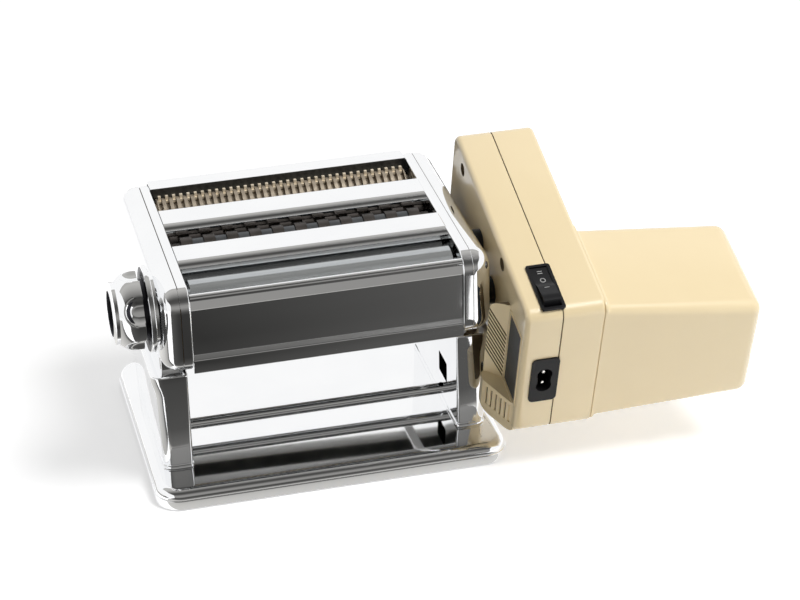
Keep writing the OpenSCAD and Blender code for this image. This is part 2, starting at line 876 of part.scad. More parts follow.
module rear_roller_gear() {
    color([0.6, 0.6, 0.62]) gear_x(roller_teeth, roller_pitch_r, roller_tip, gear_a, gear_a_w,
        [rear_roller_y, roller_z], 180 / roller_teeth, journal_r);
}

// A cutter: a core with discs of width w at xs, kept to the roller length
module cutter(y, xs, w, right_end) {
    core_end = half_len + collar_l;
    xcyl(core_r, -core_end, core_end, y, cutter_z);
    xcyl(cutter_journal_r, -frame_out - 1.6, right_end, y, cutter_z);
    for (x = xs) xcyl(cutter_r, max(-half_len, x - w / 2), min(half_len, x + w / 2), y, cutter_z);
}

wide_w = wide_pitch / 2 - disc_play;
narrow_w = narrow_pitch / 2 - disc_play;
wide_outer = concat([wide_mids[0] - wide_pitch], wide_mids,
    [wide_mids[len(wide_mids) - 1] + wide_pitch]);
narrow_outer = concat([narrow_mids[0] - narrow_pitch], narrow_mids,
    [narrow_mids[len(narrow_mids) - 1] + narrow_pitch]);

module wide_cutter_front() {
    color([0.5, 0.5, 0.5]) cutter(wide_y, wide_xs, wide_w, gear_b + gear_b_w);
}

module wide_cutter_rear() {
    y = wide_y + cutter_gap;
    color([0.5, 0.5, 0.5]) with_socket(y, cutter_z, gear_b + gear_b_w)
        cutter(y, wide_outer, wide_w, gear_b + gear_b_w);
}

module narrow_cutter_front() {
    color([0.66, 0.6, 0.48]) cutter(narrow_y, narrow_xs, narrow_w, gear_a + gear_a_w);
}

module narrow_cutter_rear() {
    y = narrow_y + cutter_gap;
    color([0.66, 0.6, 0.48]) with_socket(y, cutter_z, gear_a + gear_a_w)
        cutter(y, narrow_outer, narrow_w, gear_a + gear_a_w);
}

module cutter_gear(y, x0, w, turn) {
    color([0.62, 0.62, 0.64]) gear_x(cutter_teeth, cutter_gap / 2, cutter_tip, x0, w,
        [y, cutter_z], turn, cutter_journal_r);
}

module wide_gear_front() { cutter_gear(wide_y, gear_b, gear_b_w, 0); }
module wide_gear_rear() {
    cutter_gear(wide_y + cutter_gap, gear_b, gear_b_w, 180 / cutter_teeth);
}
module narrow_gear_front() { cutter_gear(narrow_y, gear_a, gear_a_w, 0); }
module narrow_gear_rear() {
    cutter_gear(narrow_y + cutter_gap, gear_a, gear_a_w, 180 / cutter_teeth);
}

// ---------- thickness regulator ----------

// Slot in which the cam pin moves outwards by gap_step for each step of the knob
module cam_slot() {
    w = cam_pin_r + cam_play;
    from = -steps_below * step_angle;
    to = steps_above * step_angle;
    grow = gap_step / step_angle;
    turns = [for (a = [from : 3 : to]) a];
    function at(a, off) = (cam_pin_at + a * grow + off) * [cos(180 + a), sin(180 + a)];
    back = [for (i = [len(turns) - 1 : -1 : 0]) turns[i]];
    polygon(concat([for (a = turns) at(a, w)], [for (a = back) at(a, -w)]));
    translate(at(from, 0)) circle(w);
    translate(at(to, 0)) circle(w);
}

module regulator_shaft() {
    color([0.65, 0.66, 0.67]) translate([0, front_roller_y, roller_z]) mirrored(-1) {
        along_x(cam_x, cam_x + cam_t) difference() {
            circle(cam_r);
            cam_slot();
        }
        xcyl(reg_r, cam_x + 0.5, flat_from);
        difference() {
            xcyl(reg_r, flat_from - cut, shaft_end);
            translate([flat_from, flat_at, -reg_r]) cube([knob_len, reg_r, 2 * reg_r]);
            xcyl(1.5, shaft_end - 6, shaft_end + 1);
        }
    }
}

module regulator_bush() {
    color([0.75, 0.62, 0.35]) translate([0, front_roller_y, roller_z]) mirrored(-1) difference() {
        union() {
            xcyl(bush_r(reg_r), cover_in - 2, cheek_out);
            xcyl(bush_r(reg_r) + 1.5, cover_in - 1.5, cover_in);
        }
        xcyl(reg_r + run_fit, cover_in - 3, cheek_out + 1);
    }
}

module index_ring() {
    mid = (steps_above - steps_below) * step_angle / 2;
    slot_w = index_pin_r + 0.3;
    color([0.7, 0.71, 0.73]) translate([0, front_roller_y, roller_z]) mirrored(-1)
        difference() {
            xcyl(ring_out, cheek_out, cheek_out + ring_t);
            xcyl(ring_in, cheek_out - 1, cheek_out + ring_t + 1);
            along_x(cheek_out + ring_t - 0.8, cheek_out + ring_t + 1) difference() {
                circle(index_at + slot_w);
                circle(index_at - slot_w);
            }
            for (k = [-steps_below : steps_above])
                translate([0, index_at * cos(90 + k * step_angle), index_at * sin(90 + k * step_angle)])
                    xcyl(index_pin_r, cheek_out + ring_t - 1.2, cheek_out + ring_t + 1);
        }
}

module knob_outline() {
    body_x = knob_len - 1;
    union() {
        square([knob_r - 0.6, skirt_t]);
        translate([0, 0.6]) square([knob_r, skirt_t - 1.2]);
        square([knob_body_r, knob_len * 0.42]);
        intersection() {
            translate([0, knob_len * 0.42]) scale([knob_body_r, 1])
                square([1, knob_len * 0.58]);
            translate([knob_body_r - 13, knob_len - 13]) circle(13);
        }
        square([knob_body_r - 9, body_x]);
        square([end_r, knob_len]);
    }
}

module regulator_knob() {
    color([0.83, 0.84, 0.86]) translate([0, front_roller_y, roller_z]) mirrored(-1)
        translate([knob_x, 0, 0]) {
            difference() {
                rotate([0, 90, 0]) rotate_extrude() knob_outline();
                for (i = [0 : knob_flutes - 1]) rotate([(i + 0.5) * 360 / knob_flutes, 0, 0])
                    translate([0, 0, knob_body_r + flute_r - flute_deep])
                        xcyl(flute_r, skirt_t + 0.6, knob_len + 1);
                xcyl(cap_recess_r, knob_len - cap_recess, knob_len + 1);
                xcyl(spring_seat + 0.6, spring_seat, knob_len);
                difference() {
                    xcyl(reg_r + run_fit, -1, knob_len);
                    translate([-2, flat_at + run_fit, -reg_r - 1])
                        cube([knob_len + 4, reg_r, 2 * reg_r + 2]);
                }
            }
            translate([0, 0, index_at]) xcyl(index_pin_r, -0.5 - (knob_x - cheek_out - ring_t - 0.1), 1);
        }
}

module knob_screw() {
    color([0.3, 0.3, 0.32]) translate([0, front_roller_y, roller_z]) mirrored(-1) {
        xcyl(1.5, shaft_end - 5, shaft_end + 0.5);
        difference() {
            xcyl(spring_seat, shaft_end, shaft_end + 1.6);
            translate([shaft_end + 1, -spring_seat, -0.6]) cube([1, 2 * spring_seat, 1.2]);
        }
    }
}

// Coil spring between the knob's inner shoulder and the screw head
module knob_spring() {
    x0 = knob_x + spring_seat + wire_r + 0.02;
    x1 = shaft_end - wire_r - 0.02;
    color([0.7, 0.7, 0.72]) translate([0, front_roller_y, roller_z]) mirrored(-1)
        for (i = [0 : spring_coils - 1])
            translate([x0 + (x1 - x0) * i / (spring_coils - 1), 0, 0]) rotate([0, 90, 0])
                rotate_extrude() translate([spring_r - 0.9, 0]) circle(wire_r);
}

// ---------- motor unit: the case ----------

module bulge(inset) {
    l = bulge_y[1] - bulge_y[0] - 2 * inset;
    h = bulge_z[1] - bulge_z[0] - 2 * inset;
    translate([-bulge_foot, bulge_y[1] - inset, bulge_z[0] + inset]) mirror([1, 0, 0]) mirror([0, 1, 0])
        soft_side(l, h, inner_d + bulge_d - bulge_foot - inset, bulge_r - inset, bulge_edge - inset);
}

// Region outside the slope that climbs from the case at y0 to the bulge's face at y1
module slope_outside(y0, y1, deeper) {
    far = inner_d + bulge_d + 1;
    top = y1 + (1 + deeper) * (y1 - y0) / bulge_d;
    polygon([[-far, -5], [-far, top], [deeper - inner_d, y0], [deeper - inner_d, -5]]);
}

// Space in front of the rating plate and the sloped face below it
module bulge_slopes() {
    y0 = plate_y + plate_w + lip_w;
    translate([0, 0, plate_z - lip_w]) linear_extrude(height = -plate_z + 10)
        slope_outside(y0, y0 + bulge_slope, slope_root);
    translate([0, 0, bulge_z[0] - 1]) linear_extrude(height = plate_z - bulge_z[0] + 2)
        slope_outside(plate_y, y0, slope_root);
}

module inner_case() {
    color([0.93, 0.86, 0.7]) in_unit() difference() {
        union() {
            translate([0, case_len, -case_h]) mirror([1, 0, 0]) mirror([0, 1, 0])
                soft_side(case_len, case_h, inner_d, case_corner, case_edge);
            difference() {
                bulge(0);
                bulge_slopes();
            }
            xcyl(spigot_r, cheek_out - seam_x - 0.6, -inner_d + 1, out_at[0], out_at[1]);
            pin_boss();
        }
        difference() {
            union() {
                translate([0.01, case_len - wall, wall - case_h]) mirror([1, 0, 0]) mirror([0, 1, 0])
                    soft_side(case_len - 2 * wall, case_h - 2 * wall, inner_d - wall,
                        case_corner - wall, case_edge - wall);
                difference() {
                    bulge(wall);
                    translate([wall, wall, -wall]) bulge_slopes();
                }
            }
            for (p = case_screw_at) xcyl(post_r + 1.4, -inner_d, 0.02, p[0], p[1]);
            xcyl(shaft_r + 3, -inner_d, gear3_x - 2, out_at[0], out_at[1]);
            xcyl(axle_r + 3, -inner_d, gear3_x - 2, g2_at[0], g2_at[1]);
            xcyl(axle_r + 3, -inner_d, gear2_x - 2, g1_at[0], g1_at[1]);
        }
        translate([-inner_d - 1, plate_y, plate_z]) cube([label_in + 1, plate_w, plate_h]);
        xcyl(shaft_r + run_fit, -inner_d - 10, 0, out_at[0], out_at[1]);
        for (p = [g1_at, g2_at]) xcyl(axle_r, -inner_d + 1.2, 0, p[0], p[1]);
        for (p = case_screw_at) {
            xcyl(case_screw_r + 0.2, -inner_d, 1, p[0], p[1]);
            xcyl(screw_head_r + 0.2, -inner_d - 1, screw_well - inner_d, p[0], p[1]);
        }
        switch_hole();
        inlet_hole();
        vent_slots();
    }
}

module pin_boss() {
    p = pin_local();
    xcyl(8, cheek_out + free_gap - seam_x, -inner_d + 1, p[0], p[1]);
}

function pin_local() = let (
    y = drive_y[0] + pin_from_drive[0] - unit_y,
    z = drive_z[0] + pin_from_drive[1] - unit_z)
    [y * cos(unit_tilt) + z * sin(unit_tilt), z * cos(unit_tilt) - y * sin(unit_tilt)];

module locating_pin() {
    p = pin_local();
    color([0.7, 0.71, 0.72]) in_unit()
        xcyl(pin_hole_r - 0.15, socket_end - 3 - seam_x, cheek_out + free_gap - seam_x, p[0], p[1]);
}

// Upright grooves below the rating plate, and a stack of grooves behind it
module vent_slots() {
    y0 = plate_y + plate_w + lip_w;
    low = bulge_z[0] + bulge_r;
    for (y = [plate_y + 2 : rib_pitch : y0 - 3]) intersection() {
        translate([0, 0, low]) linear_extrude(height = plate_z - 4 - low)
            slope_outside(plate_y, y0, rib_deep);
        translate([-inner_d - bulge_d - 2, y, low - 1]) cube([bulge_d + 2, slit_w, -low]);
    }
    for (z = [plate_z + 1 : rib_pitch : bulge_z[1] - bulge_r]) intersection() {
        translate([0, 0, z]) linear_extrude(height = slit_w)
            slope_outside(y0, y0 + bulge_slope, rib_deep);
        translate([-inner_d - bulge_d - 2, y0 + 1, z - 1]) cube([bulge_d + 1, bulge_slope - 3.5, slit_w + 2]);
    }
}

// Rounded rectangle as a ring of points at x, from [y0, z0] to [y1, z1]
function ring(x, y0, y1, z0, z1, r) = let (n = housing_arc)
    [for (c = [0 : 3]) for (k = [0 : n]) let (
        a = 90 * (c + k / n),
        cy = c == 0 || c == 3 ? y1 - r : y0 + r,
        cz = c < 2 ? z1 - r : z0 + r)
        [x, cy + r * cos(a), cz + r * sin(a)]];

// Ring of the motor housing at a share t of its length, drawn in by inset
function housing_ring(t, x, inset) =
    ring(x,
        blend(0, far_front, t) + inset, blend(housing_w, far_w, t) - inset,
        blend(housing_drop - case_h, far_low, t) + inset, blend(-near_drop, far_top, t) - inset,
        blend(near_r, far_r, t) + inset * 0.01 - min(inset, near_r - 1));

function blend(a, b, t) = a + (b - a) * t;

module housing_form(inset) {
    x0 = outer_d - 1.2 - 1.2 * inset;
    x1 = outer_d + housing_len - inset;
    re = far_r - inset;
    n = 6;
    rings = concat([housing_ring(0, x0, inset)],
        [for (i = [0 : n]) let (a = 90 * i / n, x = x1 - re + re * sin(a))
            housing_ring((x - x0) / (x1 - x0), x, inset + re * (1 - cos(a)) * 0.98)]);
    count = len(rings[0]);
    last = len(rings) - 1;
    points = [for (r = rings) for (p = r) p];
    polyhedron(points = points, faces = concat(
        [[for (i = [0 : count - 1]) i]],
        [[for (i = [count - 1 : -1 : 0]) last * count + i]],
        [for (j = [0 : last - 1]) for (i = [0 : count - 1]) let (k = (i + 1) % count)
            [j * count + i, (j + 1) * count + k, j * count + k]],
        [for (j = [0 : last - 1]) for (i = [0 : count - 1]) let (k = (i + 1) % count)
            [j * count + i, (j + 1) * count + i, (j + 1) * count + k]]));
}

module outer_case() {
    color([0.95, 0.88, 0.73]) in_unit() difference() {
        union() {
            translate([0, 0, -case_h])
                soft_side(case_len, case_h, outer_d, case_corner, case_edge);
            housing_form(0);
        }
        difference() {
            union() {
                translate([-0.01, wall, wall - case_h])
                    soft_side(case_len - 2 * wall, case_h - 2 * wall, outer_d - wall,
                        case_corner - wall, case_edge - wall);
                housing_form(wall);
            }
            for (p = case_screw_at) xcyl(post_r, -1, outer_d, p[0], p[1]);
            for (p = plate_posts) xcyl(post_r, plate_x + plate_t, outer_d, p[0], p[1]);
        }
        for (p = case_screw_at) xcyl(case_screw_r, -1, screw_tip + 1, p[0], p[1]);
        switch_hole();
        inlet_hole();
        for (z = [-40 : -6 : -64]) translate([outer_d + housing_len - 6, 14, z])
            cube([10, 22, 2.4]);
    }
}

module case_screws() {
    head = screw_well - inner_d;
    color([0.55, 0.55, 0.57]) in_unit() for (p = case_screw_at) {
        xcyl(case_screw_r, head - 0.5, screw_tip, p[0], p[1]);
        difference() {
            xcyl(screw_head_r, head - screw_head_h, head, p[0], p[1]);
            translate([head - screw_head_h - 0.1, p[0] - 0.5, p[1] - 3]) cube([1, 1, 6]);
        }
    }
}

module rating_plate() {
    p = label_play;
    color([0.3, 0.34, 0.38]) in_unit()
        translate([-inner_d + label_in - label_t, plate_y + p, plate_z + p])
            cube([label_t, plate_w - 2 * p, plate_h - 2 * p]);
}

// ---------- switch and inlet ----------

module switch_hole() {
    translate([switch_x - switch_w / 2 + 0.8, switch_y - switch_l / 2 + 0.8, -switch_deep])
        cube([switch_w - 1.6, switch_l - 1.6, switch_deep + 1]);
}

module switch_bezel() {
    w = switch_w;
    l = switch_l;
    color([0.07, 0.07, 0.08]) in_unit() translate([switch_x, switch_y, 0]) difference() {
        union() {
            translate([-w / 2, -l / 2, 0]) linear_extrude(height = 1.1) round_rect(w, l, 1.6);
            translate([-w / 2 + 0.8, -l / 2 + 0.8, -switch_deep + 0.5])
                cube([w - 1.6, l - 1.6, switch_deep]);
        }
        translate([-w / 2 + 1.8, -l / 2 + 1.8, -switch_deep + 3])
            cube([w - 3.6, l - 3.6, switch_deep + 2]);
        xcyl(1.2, -w / 2 + 0.7, w / 2 - 0.7, 0, rocker_pivot);
    }
}

rocker_pivot = -4.2;

module switch_rocker() {
    w = switch_w - 3.6 - 0.4;
    l = switch_l - 3.6 - 2.6;
    top = 5.4;
    color([0.09, 0.09, 0.1]) in_unit() translate([switch_x, switch_y, rocker_pivot])
        rotate([-rocker_tilt, 0, 0]) {
            along_x(-w / 2, w / 2) polygon([[-l / 2, 1.6], [0, -3.2], [l / 2, 1.6],
                [l / 2, top + 2], [0, top], [-l / 2, top + 2]]);
            xcyl(1.15, -w / 2 - 0.9, w / 2 + 0.9);
        }
}

module inlet_hole() {
    translate([inlet_x - inlet_w / 2 + 0.8, -1, inlet_z - inlet_h / 2 + 0.8])
        cube([inlet_w - 1.6, inlet_deep, inlet_h - 1.6]);
}

module inlet_body() {
    color([0.08, 0.08, 0.09]) in_unit() translate([inlet_x, 0, inlet_z]) difference() {
        union() {
            translate([-inlet_w / 2, 0, -inlet_h / 2]) rotate([90, 0, 0])
                linear_extrude(height = 1) round_rect(inlet_w, inlet_h, 3);
            translate([-inlet_w / 2 + 0.8, -0.5, -inlet_h / 2 + 0.8])
                cube([inlet_w - 1.6, inlet_deep - 1, inlet_h - 1.6]);
        }
        for (s = [-1, 1]) translate([0, -2, s * inlet_pitch / 2]) rotate([-90, 0, 0])
            cylinder(r = inlet_hole_r, h = 12);
        translate([-inlet_hole_r + 0.6, -2, -inlet_pitch / 2])
            cube([2 * inlet_hole_r - 1.2, 12, inlet_pitch]);
        for (s = [-1, 1]) translate([0, 0, s * inlet_pitch / 2]) rotate([-90, 0, 0])
            cylinder(r = 1.2, h = 20);
    }
}

module inlet_pins() {
    color([0.8, 0.8, 0.78]) in_unit() for (s = [-1, 1])
        translate([inlet_x, 1.5, inlet_z + s * inlet_pitch / 2]) rotate([-90, 0, 0])
            cylinder(r = 1.2, h = inlet_deep + 3);
}

// ---------- motor and reduction gears ----------

plate_posts = [[housing_w + 5, -16], [housing_w + 6, 19.5 - case_h], [out_at[0] + 26.5, -30]];
plate_gap = 1.5;
plate_low = wall + 3 - case_h;
plate_top = -wall - 3.5;
plate_far = out_at[0] + 34.5;

module gearbox_plate() {
    color([0.6, 0.6, 0.58]) in_unit() difference() {
        union() {
            along_x(plate_x, plate_x + plate_t) difference() {
                translate([wall + plate_gap, plate_low])
                    round_rect(plate_far - wall - plate_gap, plate_top - plate_low, 6);
                translate([out_at[0] + 4.5, plate_low - 1])
                    square([40, out_at[1] - 21.3 - plate_low + 1]);
            }
            xcyl(shaft_r + 3, plate_x - 3, plate_x + 0.5, out_at[0], out_at[1]);
        }
        xcyl(shaft_r + run_fit, plate_x - 4, plate_x + plate_t + 1, out_at[0], out_at[1]);
        xcyl(8, plate_x - 1, plate_x + plate_t + 1, motor_at[0], motor_at[1]);
        for (p = [g1_at, g2_at]) xcyl(axle_r, plate_x - 1, plate_x + plate_t + 1, p[0], p[1]);
        for (p = case_screw_at) xcyl(post_r + 0.5, plate_x - 1, plate_x + plate_t + 1, p[0], p[1]);
        switch_hole();
        inlet_hole();
    }
}

module gear_axles() {
    color([0.72, 0.73, 0.74]) in_unit() for (p = [g1_at, g2_at])
        xcyl(axle_r, -inner_d + 1.2, plate_x + plate_t, p[0], p[1]);
}

can_x = 17;
can_len = 69;
rotor_r = 14;
fan_r = 17;

module motor_can() {
    x1 = can_x + can_len;
    color([0.45, 0.46, 0.48]) in_unit() difference() {
        xcyl(can_r, can_x, x1, motor_at[0], motor_at[1]);
        xcyl(rotor_r + 1.2, can_x + 3, x1 - 3, motor_at[0], motor_at[1]);
        xcyl(axle_r + run_fit, can_x - 1, x1 + 1, motor_at[0], motor_at[1]);
        for (a = [0 : 60 : 300]) rotate([0, 0, 0])
            translate([0, motor_at[0] + 10.5 * cos(a), motor_at[1] + 10.5 * sin(a)])
                xcyl(2.2, x1 - 4, x1 + 1);
    }
}

module motor_rotor() {
    color([0.62, 0.5, 0.38]) in_unit() {
        xcyl(axle_r, 0, can_x + can_len + 16, motor_at[0], motor_at[1]);
        xcyl(rotor_r, can_x + 10, can_x + can_len - 20, motor_at[0], motor_at[1]);
        xcyl(8, can_x + can_len - 17, can_x + can_len - 7, motor_at[0], motor_at[1]);
        translate([0, motor_at[0], motor_at[1]]) along_x(gear1_x - 1, gear1_x + gear_w + 1)
            rotate(dir1) gear_outline(t1[0], m1 * t1[0] / 2, m1 * t1[0] / 2 + m1, m1 * t1[0] / 2 - 1.4);
    }
}

module cooling_fan() {
    x0 = can_x + can_len + 5;
    color([0.2, 0.2, 0.22]) in_unit() translate([0, motor_at[0], motor_at[1]]) difference() {
        union() {
            xcyl(7, x0, x0 + 9);
            xcyl(fan_r, x0, x0 + 1.4);
            for (i = [0 : 7]) rotate([i * 45, 0, 0])
                translate([x0 + 0.5, -0.6, 5]) cube([8, 1.2, fan_r - 6]);
        }
        xcyl(axle_r, x0 - 1, x0 + 12);
    }
}

// Two gears of one piece that turn on a fixed axle
module double_gear(at, big, x_big, m_big, small, x_small, m_small, turn_big, turn_small, w_small) {
    color([0.9, 0.88, 0.8]) in_unit() difference() {
        union() {
            translate([0, at[0], at[1]]) along_x(x_big, x_big + gear_w) rotate(turn_big)
                gear_outline(big, m_big * big / 2, m_big * big / 2 + 1.1, m_big * big / 2 - 1.5);
            translate([0, at[0], at[1]]) along_x(x_small, x_small + w_small) rotate(turn_small)
                gear_outline(small, m_small * small / 2, m_small * small / 2 + 1.2,
                    m_small * small / 2 - 1.5);
        }
        xcyl(axle_r + run_fit, x_small - 10, x_big + 20, at[0], at[1]);
    }
}

module first_gear() {
    double_gear(g1_at, t1[1], gear1_x, m1, t2[0], gear2_x - 0.8, m1,
        dir1 + 180 + 180 / t1[1], dir2, gear1_x - gear2_x + 0.8 + 0.1);
}

module second_gear() {
    double_gear(g2_at, t2[1], gear2_x, m1, t3[0], gear3_x - 0.5, m3,
        dir2 + 180 + 180 / t2[1], dir3, gear2_x - gear3_x + 0.5 + 0.1);
}

module output_gear() {
    y = out_at[0];
    z = out_at[1];
    r = m3 * t3[1] / 2;
    tip_x = socket_end - socket_grip - seam_x;
    color([0.72, 0.73, 0.74]) in_unit() {
        translate([0, y, z]) along_x(gear3_x, gear3_x + gear_w) rotate(dir3 + 180 + 180 / t3[1])
            gear_outline(t3[1], r, r + 1.1, r - 1.6);
        xcyl(shaft_r, -inner_d - 6, plate_x + plate_t, y, z);
        xcyl(shaft_r + 2, gear3_x - 1.6, gear3_x + gear_w + 2, y, z);
        translate([tip_x, y, z]) rotate([-unit_tilt, 0, 0]) rotate([0, 90, 0])
            cylinder(r = hex_af / sqrt(3), h = -inner_d - 5 - tip_x, $fn = 6);
    }
}

base_tray();
base_mat();
left_leg();
right_leg();
frame_screws();
tie_rod();
tie_rod_nuts();
left_side_frame();
right_side_frame();
left_cheek_cover();
right_cheek_cover();
front_panel();
rear_panel();
front_hood();
rear_hood();
frame_spacers();
roller_scrapers();
wide_combs();
narrow_combs();
roller_bushes();
cutter_bushes();
block_guides();
regulator_bush();
index_ring();
left_bearing_block();
right_bearing_block();
carriage_bar();
front_roller();
front_roller_gear();
rear_roller();
rear_roller_gear();
wide_cutter_front();
wide_gear_front();
wide_cutter_rear();
wide_gear_rear();
narrow_cutter_front();
narrow_gear_front();
narrow_cutter_rear();
narrow_gear_rear();
regulator_shaft();
knob_spring();
regulator_knob();
knob_screw();
inner_case();
outer_case();
rating_plate();
inlet_body();
inlet_pins();
switch_bezel();
switch_rocker();
case_screws();
locating_pin();
gearbox_plate();
gear_axles();
motor_can();
motor_rotor();
cooling_fan();
first_gear();
second_gear();
output_gear();
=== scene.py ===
import json
import math
import bmesh
import bpy
from mathutils import Matrix, Vector

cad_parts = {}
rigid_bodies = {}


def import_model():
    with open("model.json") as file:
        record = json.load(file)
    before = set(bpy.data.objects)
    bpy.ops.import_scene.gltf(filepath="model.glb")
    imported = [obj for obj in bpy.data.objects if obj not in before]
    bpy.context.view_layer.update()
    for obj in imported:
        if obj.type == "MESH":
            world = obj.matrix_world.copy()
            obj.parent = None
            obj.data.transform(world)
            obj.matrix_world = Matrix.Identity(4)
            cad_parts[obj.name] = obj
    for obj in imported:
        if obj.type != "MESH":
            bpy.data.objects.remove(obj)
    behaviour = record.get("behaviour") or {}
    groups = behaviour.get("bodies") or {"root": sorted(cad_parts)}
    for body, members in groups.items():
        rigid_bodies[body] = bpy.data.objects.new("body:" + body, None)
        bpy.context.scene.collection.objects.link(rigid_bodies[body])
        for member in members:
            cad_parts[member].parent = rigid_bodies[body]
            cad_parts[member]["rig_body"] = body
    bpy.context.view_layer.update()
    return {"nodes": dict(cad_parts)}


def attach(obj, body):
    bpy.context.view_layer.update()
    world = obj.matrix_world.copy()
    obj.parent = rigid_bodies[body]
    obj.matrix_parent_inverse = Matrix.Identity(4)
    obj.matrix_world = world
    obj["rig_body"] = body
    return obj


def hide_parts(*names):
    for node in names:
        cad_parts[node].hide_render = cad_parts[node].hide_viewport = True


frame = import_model()
scene = bpy.context.scene
nodes = frame["nodes"]
MM = 0.001

# ---------- sizes of the machine, in millimetres ----------

SHEET = 1.2
BASE_LEN, BASE_DEP, BASE_TOP, BASE_CORNER = 208, 160, 12.5, 15
BASE_LIFT, BAND_OUT, SKIRT_TOP = 0.8, 0.5, 6.6
SEAM_AT, CHEEK_OUT = 83, 95
CHEEK = (-74, 75, 83.5, 135.5)
CHEEK_CORNER, COVER_EDGE = 12, 10.5
FRAME_IN, REAR_FROM, REAR_LOW = 77.5, 60, 101
LEG_IN, LEG_OUT, LEG_FRONT, LEG_BACK = 78.5, 95.5, -53.4, 50
LEG_FLARE_FROM, LEG_TOP, LEG_FLARE = 60, 73, 4
LEG_CORNER, LEG_INNER_CORNER = 6, 2
LEG_WINDOW = (-30, -12, 29, 42)
NECK_IN, NECK_INSET, NECK_CORNER = 2, 5, 1.5
ROLLER_Z = 118
FRONT_ROLLER_Y = -52.08
DRIVES = ((-24, 118), (17.6, 122), (53.6, 122))
PIN_FROM_DRIVE = (-24, -20)
DRIVE_HOLE_R, PIN_HOLE_R, SHAFT_HOLE_R = 7, 4.15, 6
HOLE_BACK = 2.6
KNOB_X, KNOB_R, KNOB_BODY, KNOB_LEN, KNOB_SKIRT = 97, 24.5, 22, 22.5, 3.2
KNOB_BORE, SPRING_SEAT, SPRING_SEAT_R = 4.05, 7.5, 8.1
INDEX_PIN_AT, INDEX_PIN_R = 17, 1.3

# ---------- sizes of the motor unit, in its own frame ----------

UNIT_AT, UNIT_TILT = Vector((122.3, -119.3, 118.3)), math.radians(16.1)
CASE_LEN, CASE_H, INNER_D, OUTER_D, HOUSING_LEN = 158, 95.5, 21.2, 26, 93
CASE_CORNER, CASE_EDGE, WALL, INSIDE_EDGE = 7, 3, 2.5, 0.6
# y from and to, z from and to, and corner radius of the housing at the case and at its end
HOUSING_NEAR = (0, 68, -91, -3.2, 5)
HOUSING_FAR = (-2.5, 70, -86, -15.5, 7)
HOUSING_ROOT, HOUSING_FLARE, HOUSING_EDGE = 1.2, 2.4, 7
VENT_Y, VENT_Z, VENT_W = (14, 36), range(-64, -39, 6), 2.4
SWITCH = (-5, 20.2, 14, 35.7)
INLET = (-7, -52.2, 16.3, 33.5)
BEZEL_EDGE = 0.8
PIN_PITCH = 8.6
ROCKER_Z, ROCKER_TILT = -4.2, math.radians(-7)
LABEL = (5.2, 26.5, -75, -22)
LABEL_LIP, LABEL_DEEP = 1.2, 0.9
BULGE = (3.5, 36, -99.5, -19)
BULGE_FOOT, BULGE_FACE, BULGE_R, BULGE_EDGE, BULGE_SLOPE = 8, 33.2, 7, 4, 9
SLOPE_DEEP = 0.3
RIB_PITCH, RIB_W, RIB_DEEP = 3.4, 1.7, 1.2
SLANT_PITCH, SLANT_W, RIB_SLANT = 3.2, 1.7, 2.4
SCREWS = ((136, -11), (147, -84), (44, -88.5), (50, -7.2))
POST_R, WELL_R, WELL_DEEP, SCREW_BORE = 6.4, 4.0, 9, 1.8
SPIGOT, SPIGOT_R, SHAFT_BORE = (91.48, -26.72), 6.9, 4.05
PIN_BOSS, BOSS_R = (62.87, -39.28), 8

# ---------- mesh helpers ----------

SHARP = 30
CASE_SHARP = 28


def lerp(a, b, t):
    return a + (b - a) * t


def smooth(t):
    t = min(max(t, 0), 1)
    return t * t * (3 - 2 * t)


def quarter(n):
    """Angles from 0 to 90 degrees in n steps."""
    return [math.radians(90 * k / n) for k in range(n + 1)]


def quarter_round(r, centre, n, start=0.0):
    """Pairs (inset, place) along a quarter circle: from its side, at its centre, to its end."""
    return [(start + r * (1 - math.cos(a)), centre + r * math.sin(a)) for a in quarter(n)]


def circle(r, n):
    """Points (u, v) of a circle about the origin."""
    return [(r * math.cos(math.tau * k / n), r * math.sin(math.tau * k / n)) for k in range(n)]


def arc(cy, cz, r, a0, a1, n=8):
    """Points (y, z) on an arc, its angles in degrees from the y axis."""
    return [(cy + r * math.cos(math.radians(lerp(a0, a1, k / n))),
             cz + r * math.sin(math.radians(lerp(a0, a1, k / n)))) for k in range(n + 1)]


def round_ring(u0, u1, v0, v1, radii, n=10):
    """Points of a rounded rectangle; radii for the corners ++, -+, --, +-."""
    if not isinstance(radii, (tuple, list)):
        radii = (radii,) * 4
    points = []
    for c, r in enumerate(radii):
        cu = u1 - r if c in (0, 3) else u0 + r
        cv = v1 - r if c < 2 else v0 + r
        for k in range(n + 1):
            a = math.radians(90 * (c + k / n))
            points.append((cu + r * math.cos(a), cv + r * math.sin(a)))
    return points


def at_x(x, points):
    """Points (y, z) set at one x."""
    return [(x, y, z) for y, z in points]


def at_z(z, points):
    """Points (x, y) set at one height."""
    return [(x, y, z) for x, y in points]


def loft(rings, caps=True):
    """Joins rings of equal length into a skin; returns vertices and faces."""
    count = len(rings[0])
    verts = [p for ring in rings for p in ring]
    faces = []
    for j in range(len(rings) - 1):
        for i in range(count):
            k = (i + 1) % count
            faces.append((j * count + i, j * count + k, (j + 1) * count + k, (j + 1) * count + i))
    if caps:
        faces.append(tuple(reversed(range(count))))
        faces.append(tuple(range((len(rings) - 1) * count, len(rings) * count)))
    return verts, faces


def soften(obj, angle=SHARP):
    """Smooth shading, with sharp edges where faces meet at more than an angle."""
    obj.data.shade_smooth()
    obj.data.set_sharp_from_angle(angle=math.radians(angle))


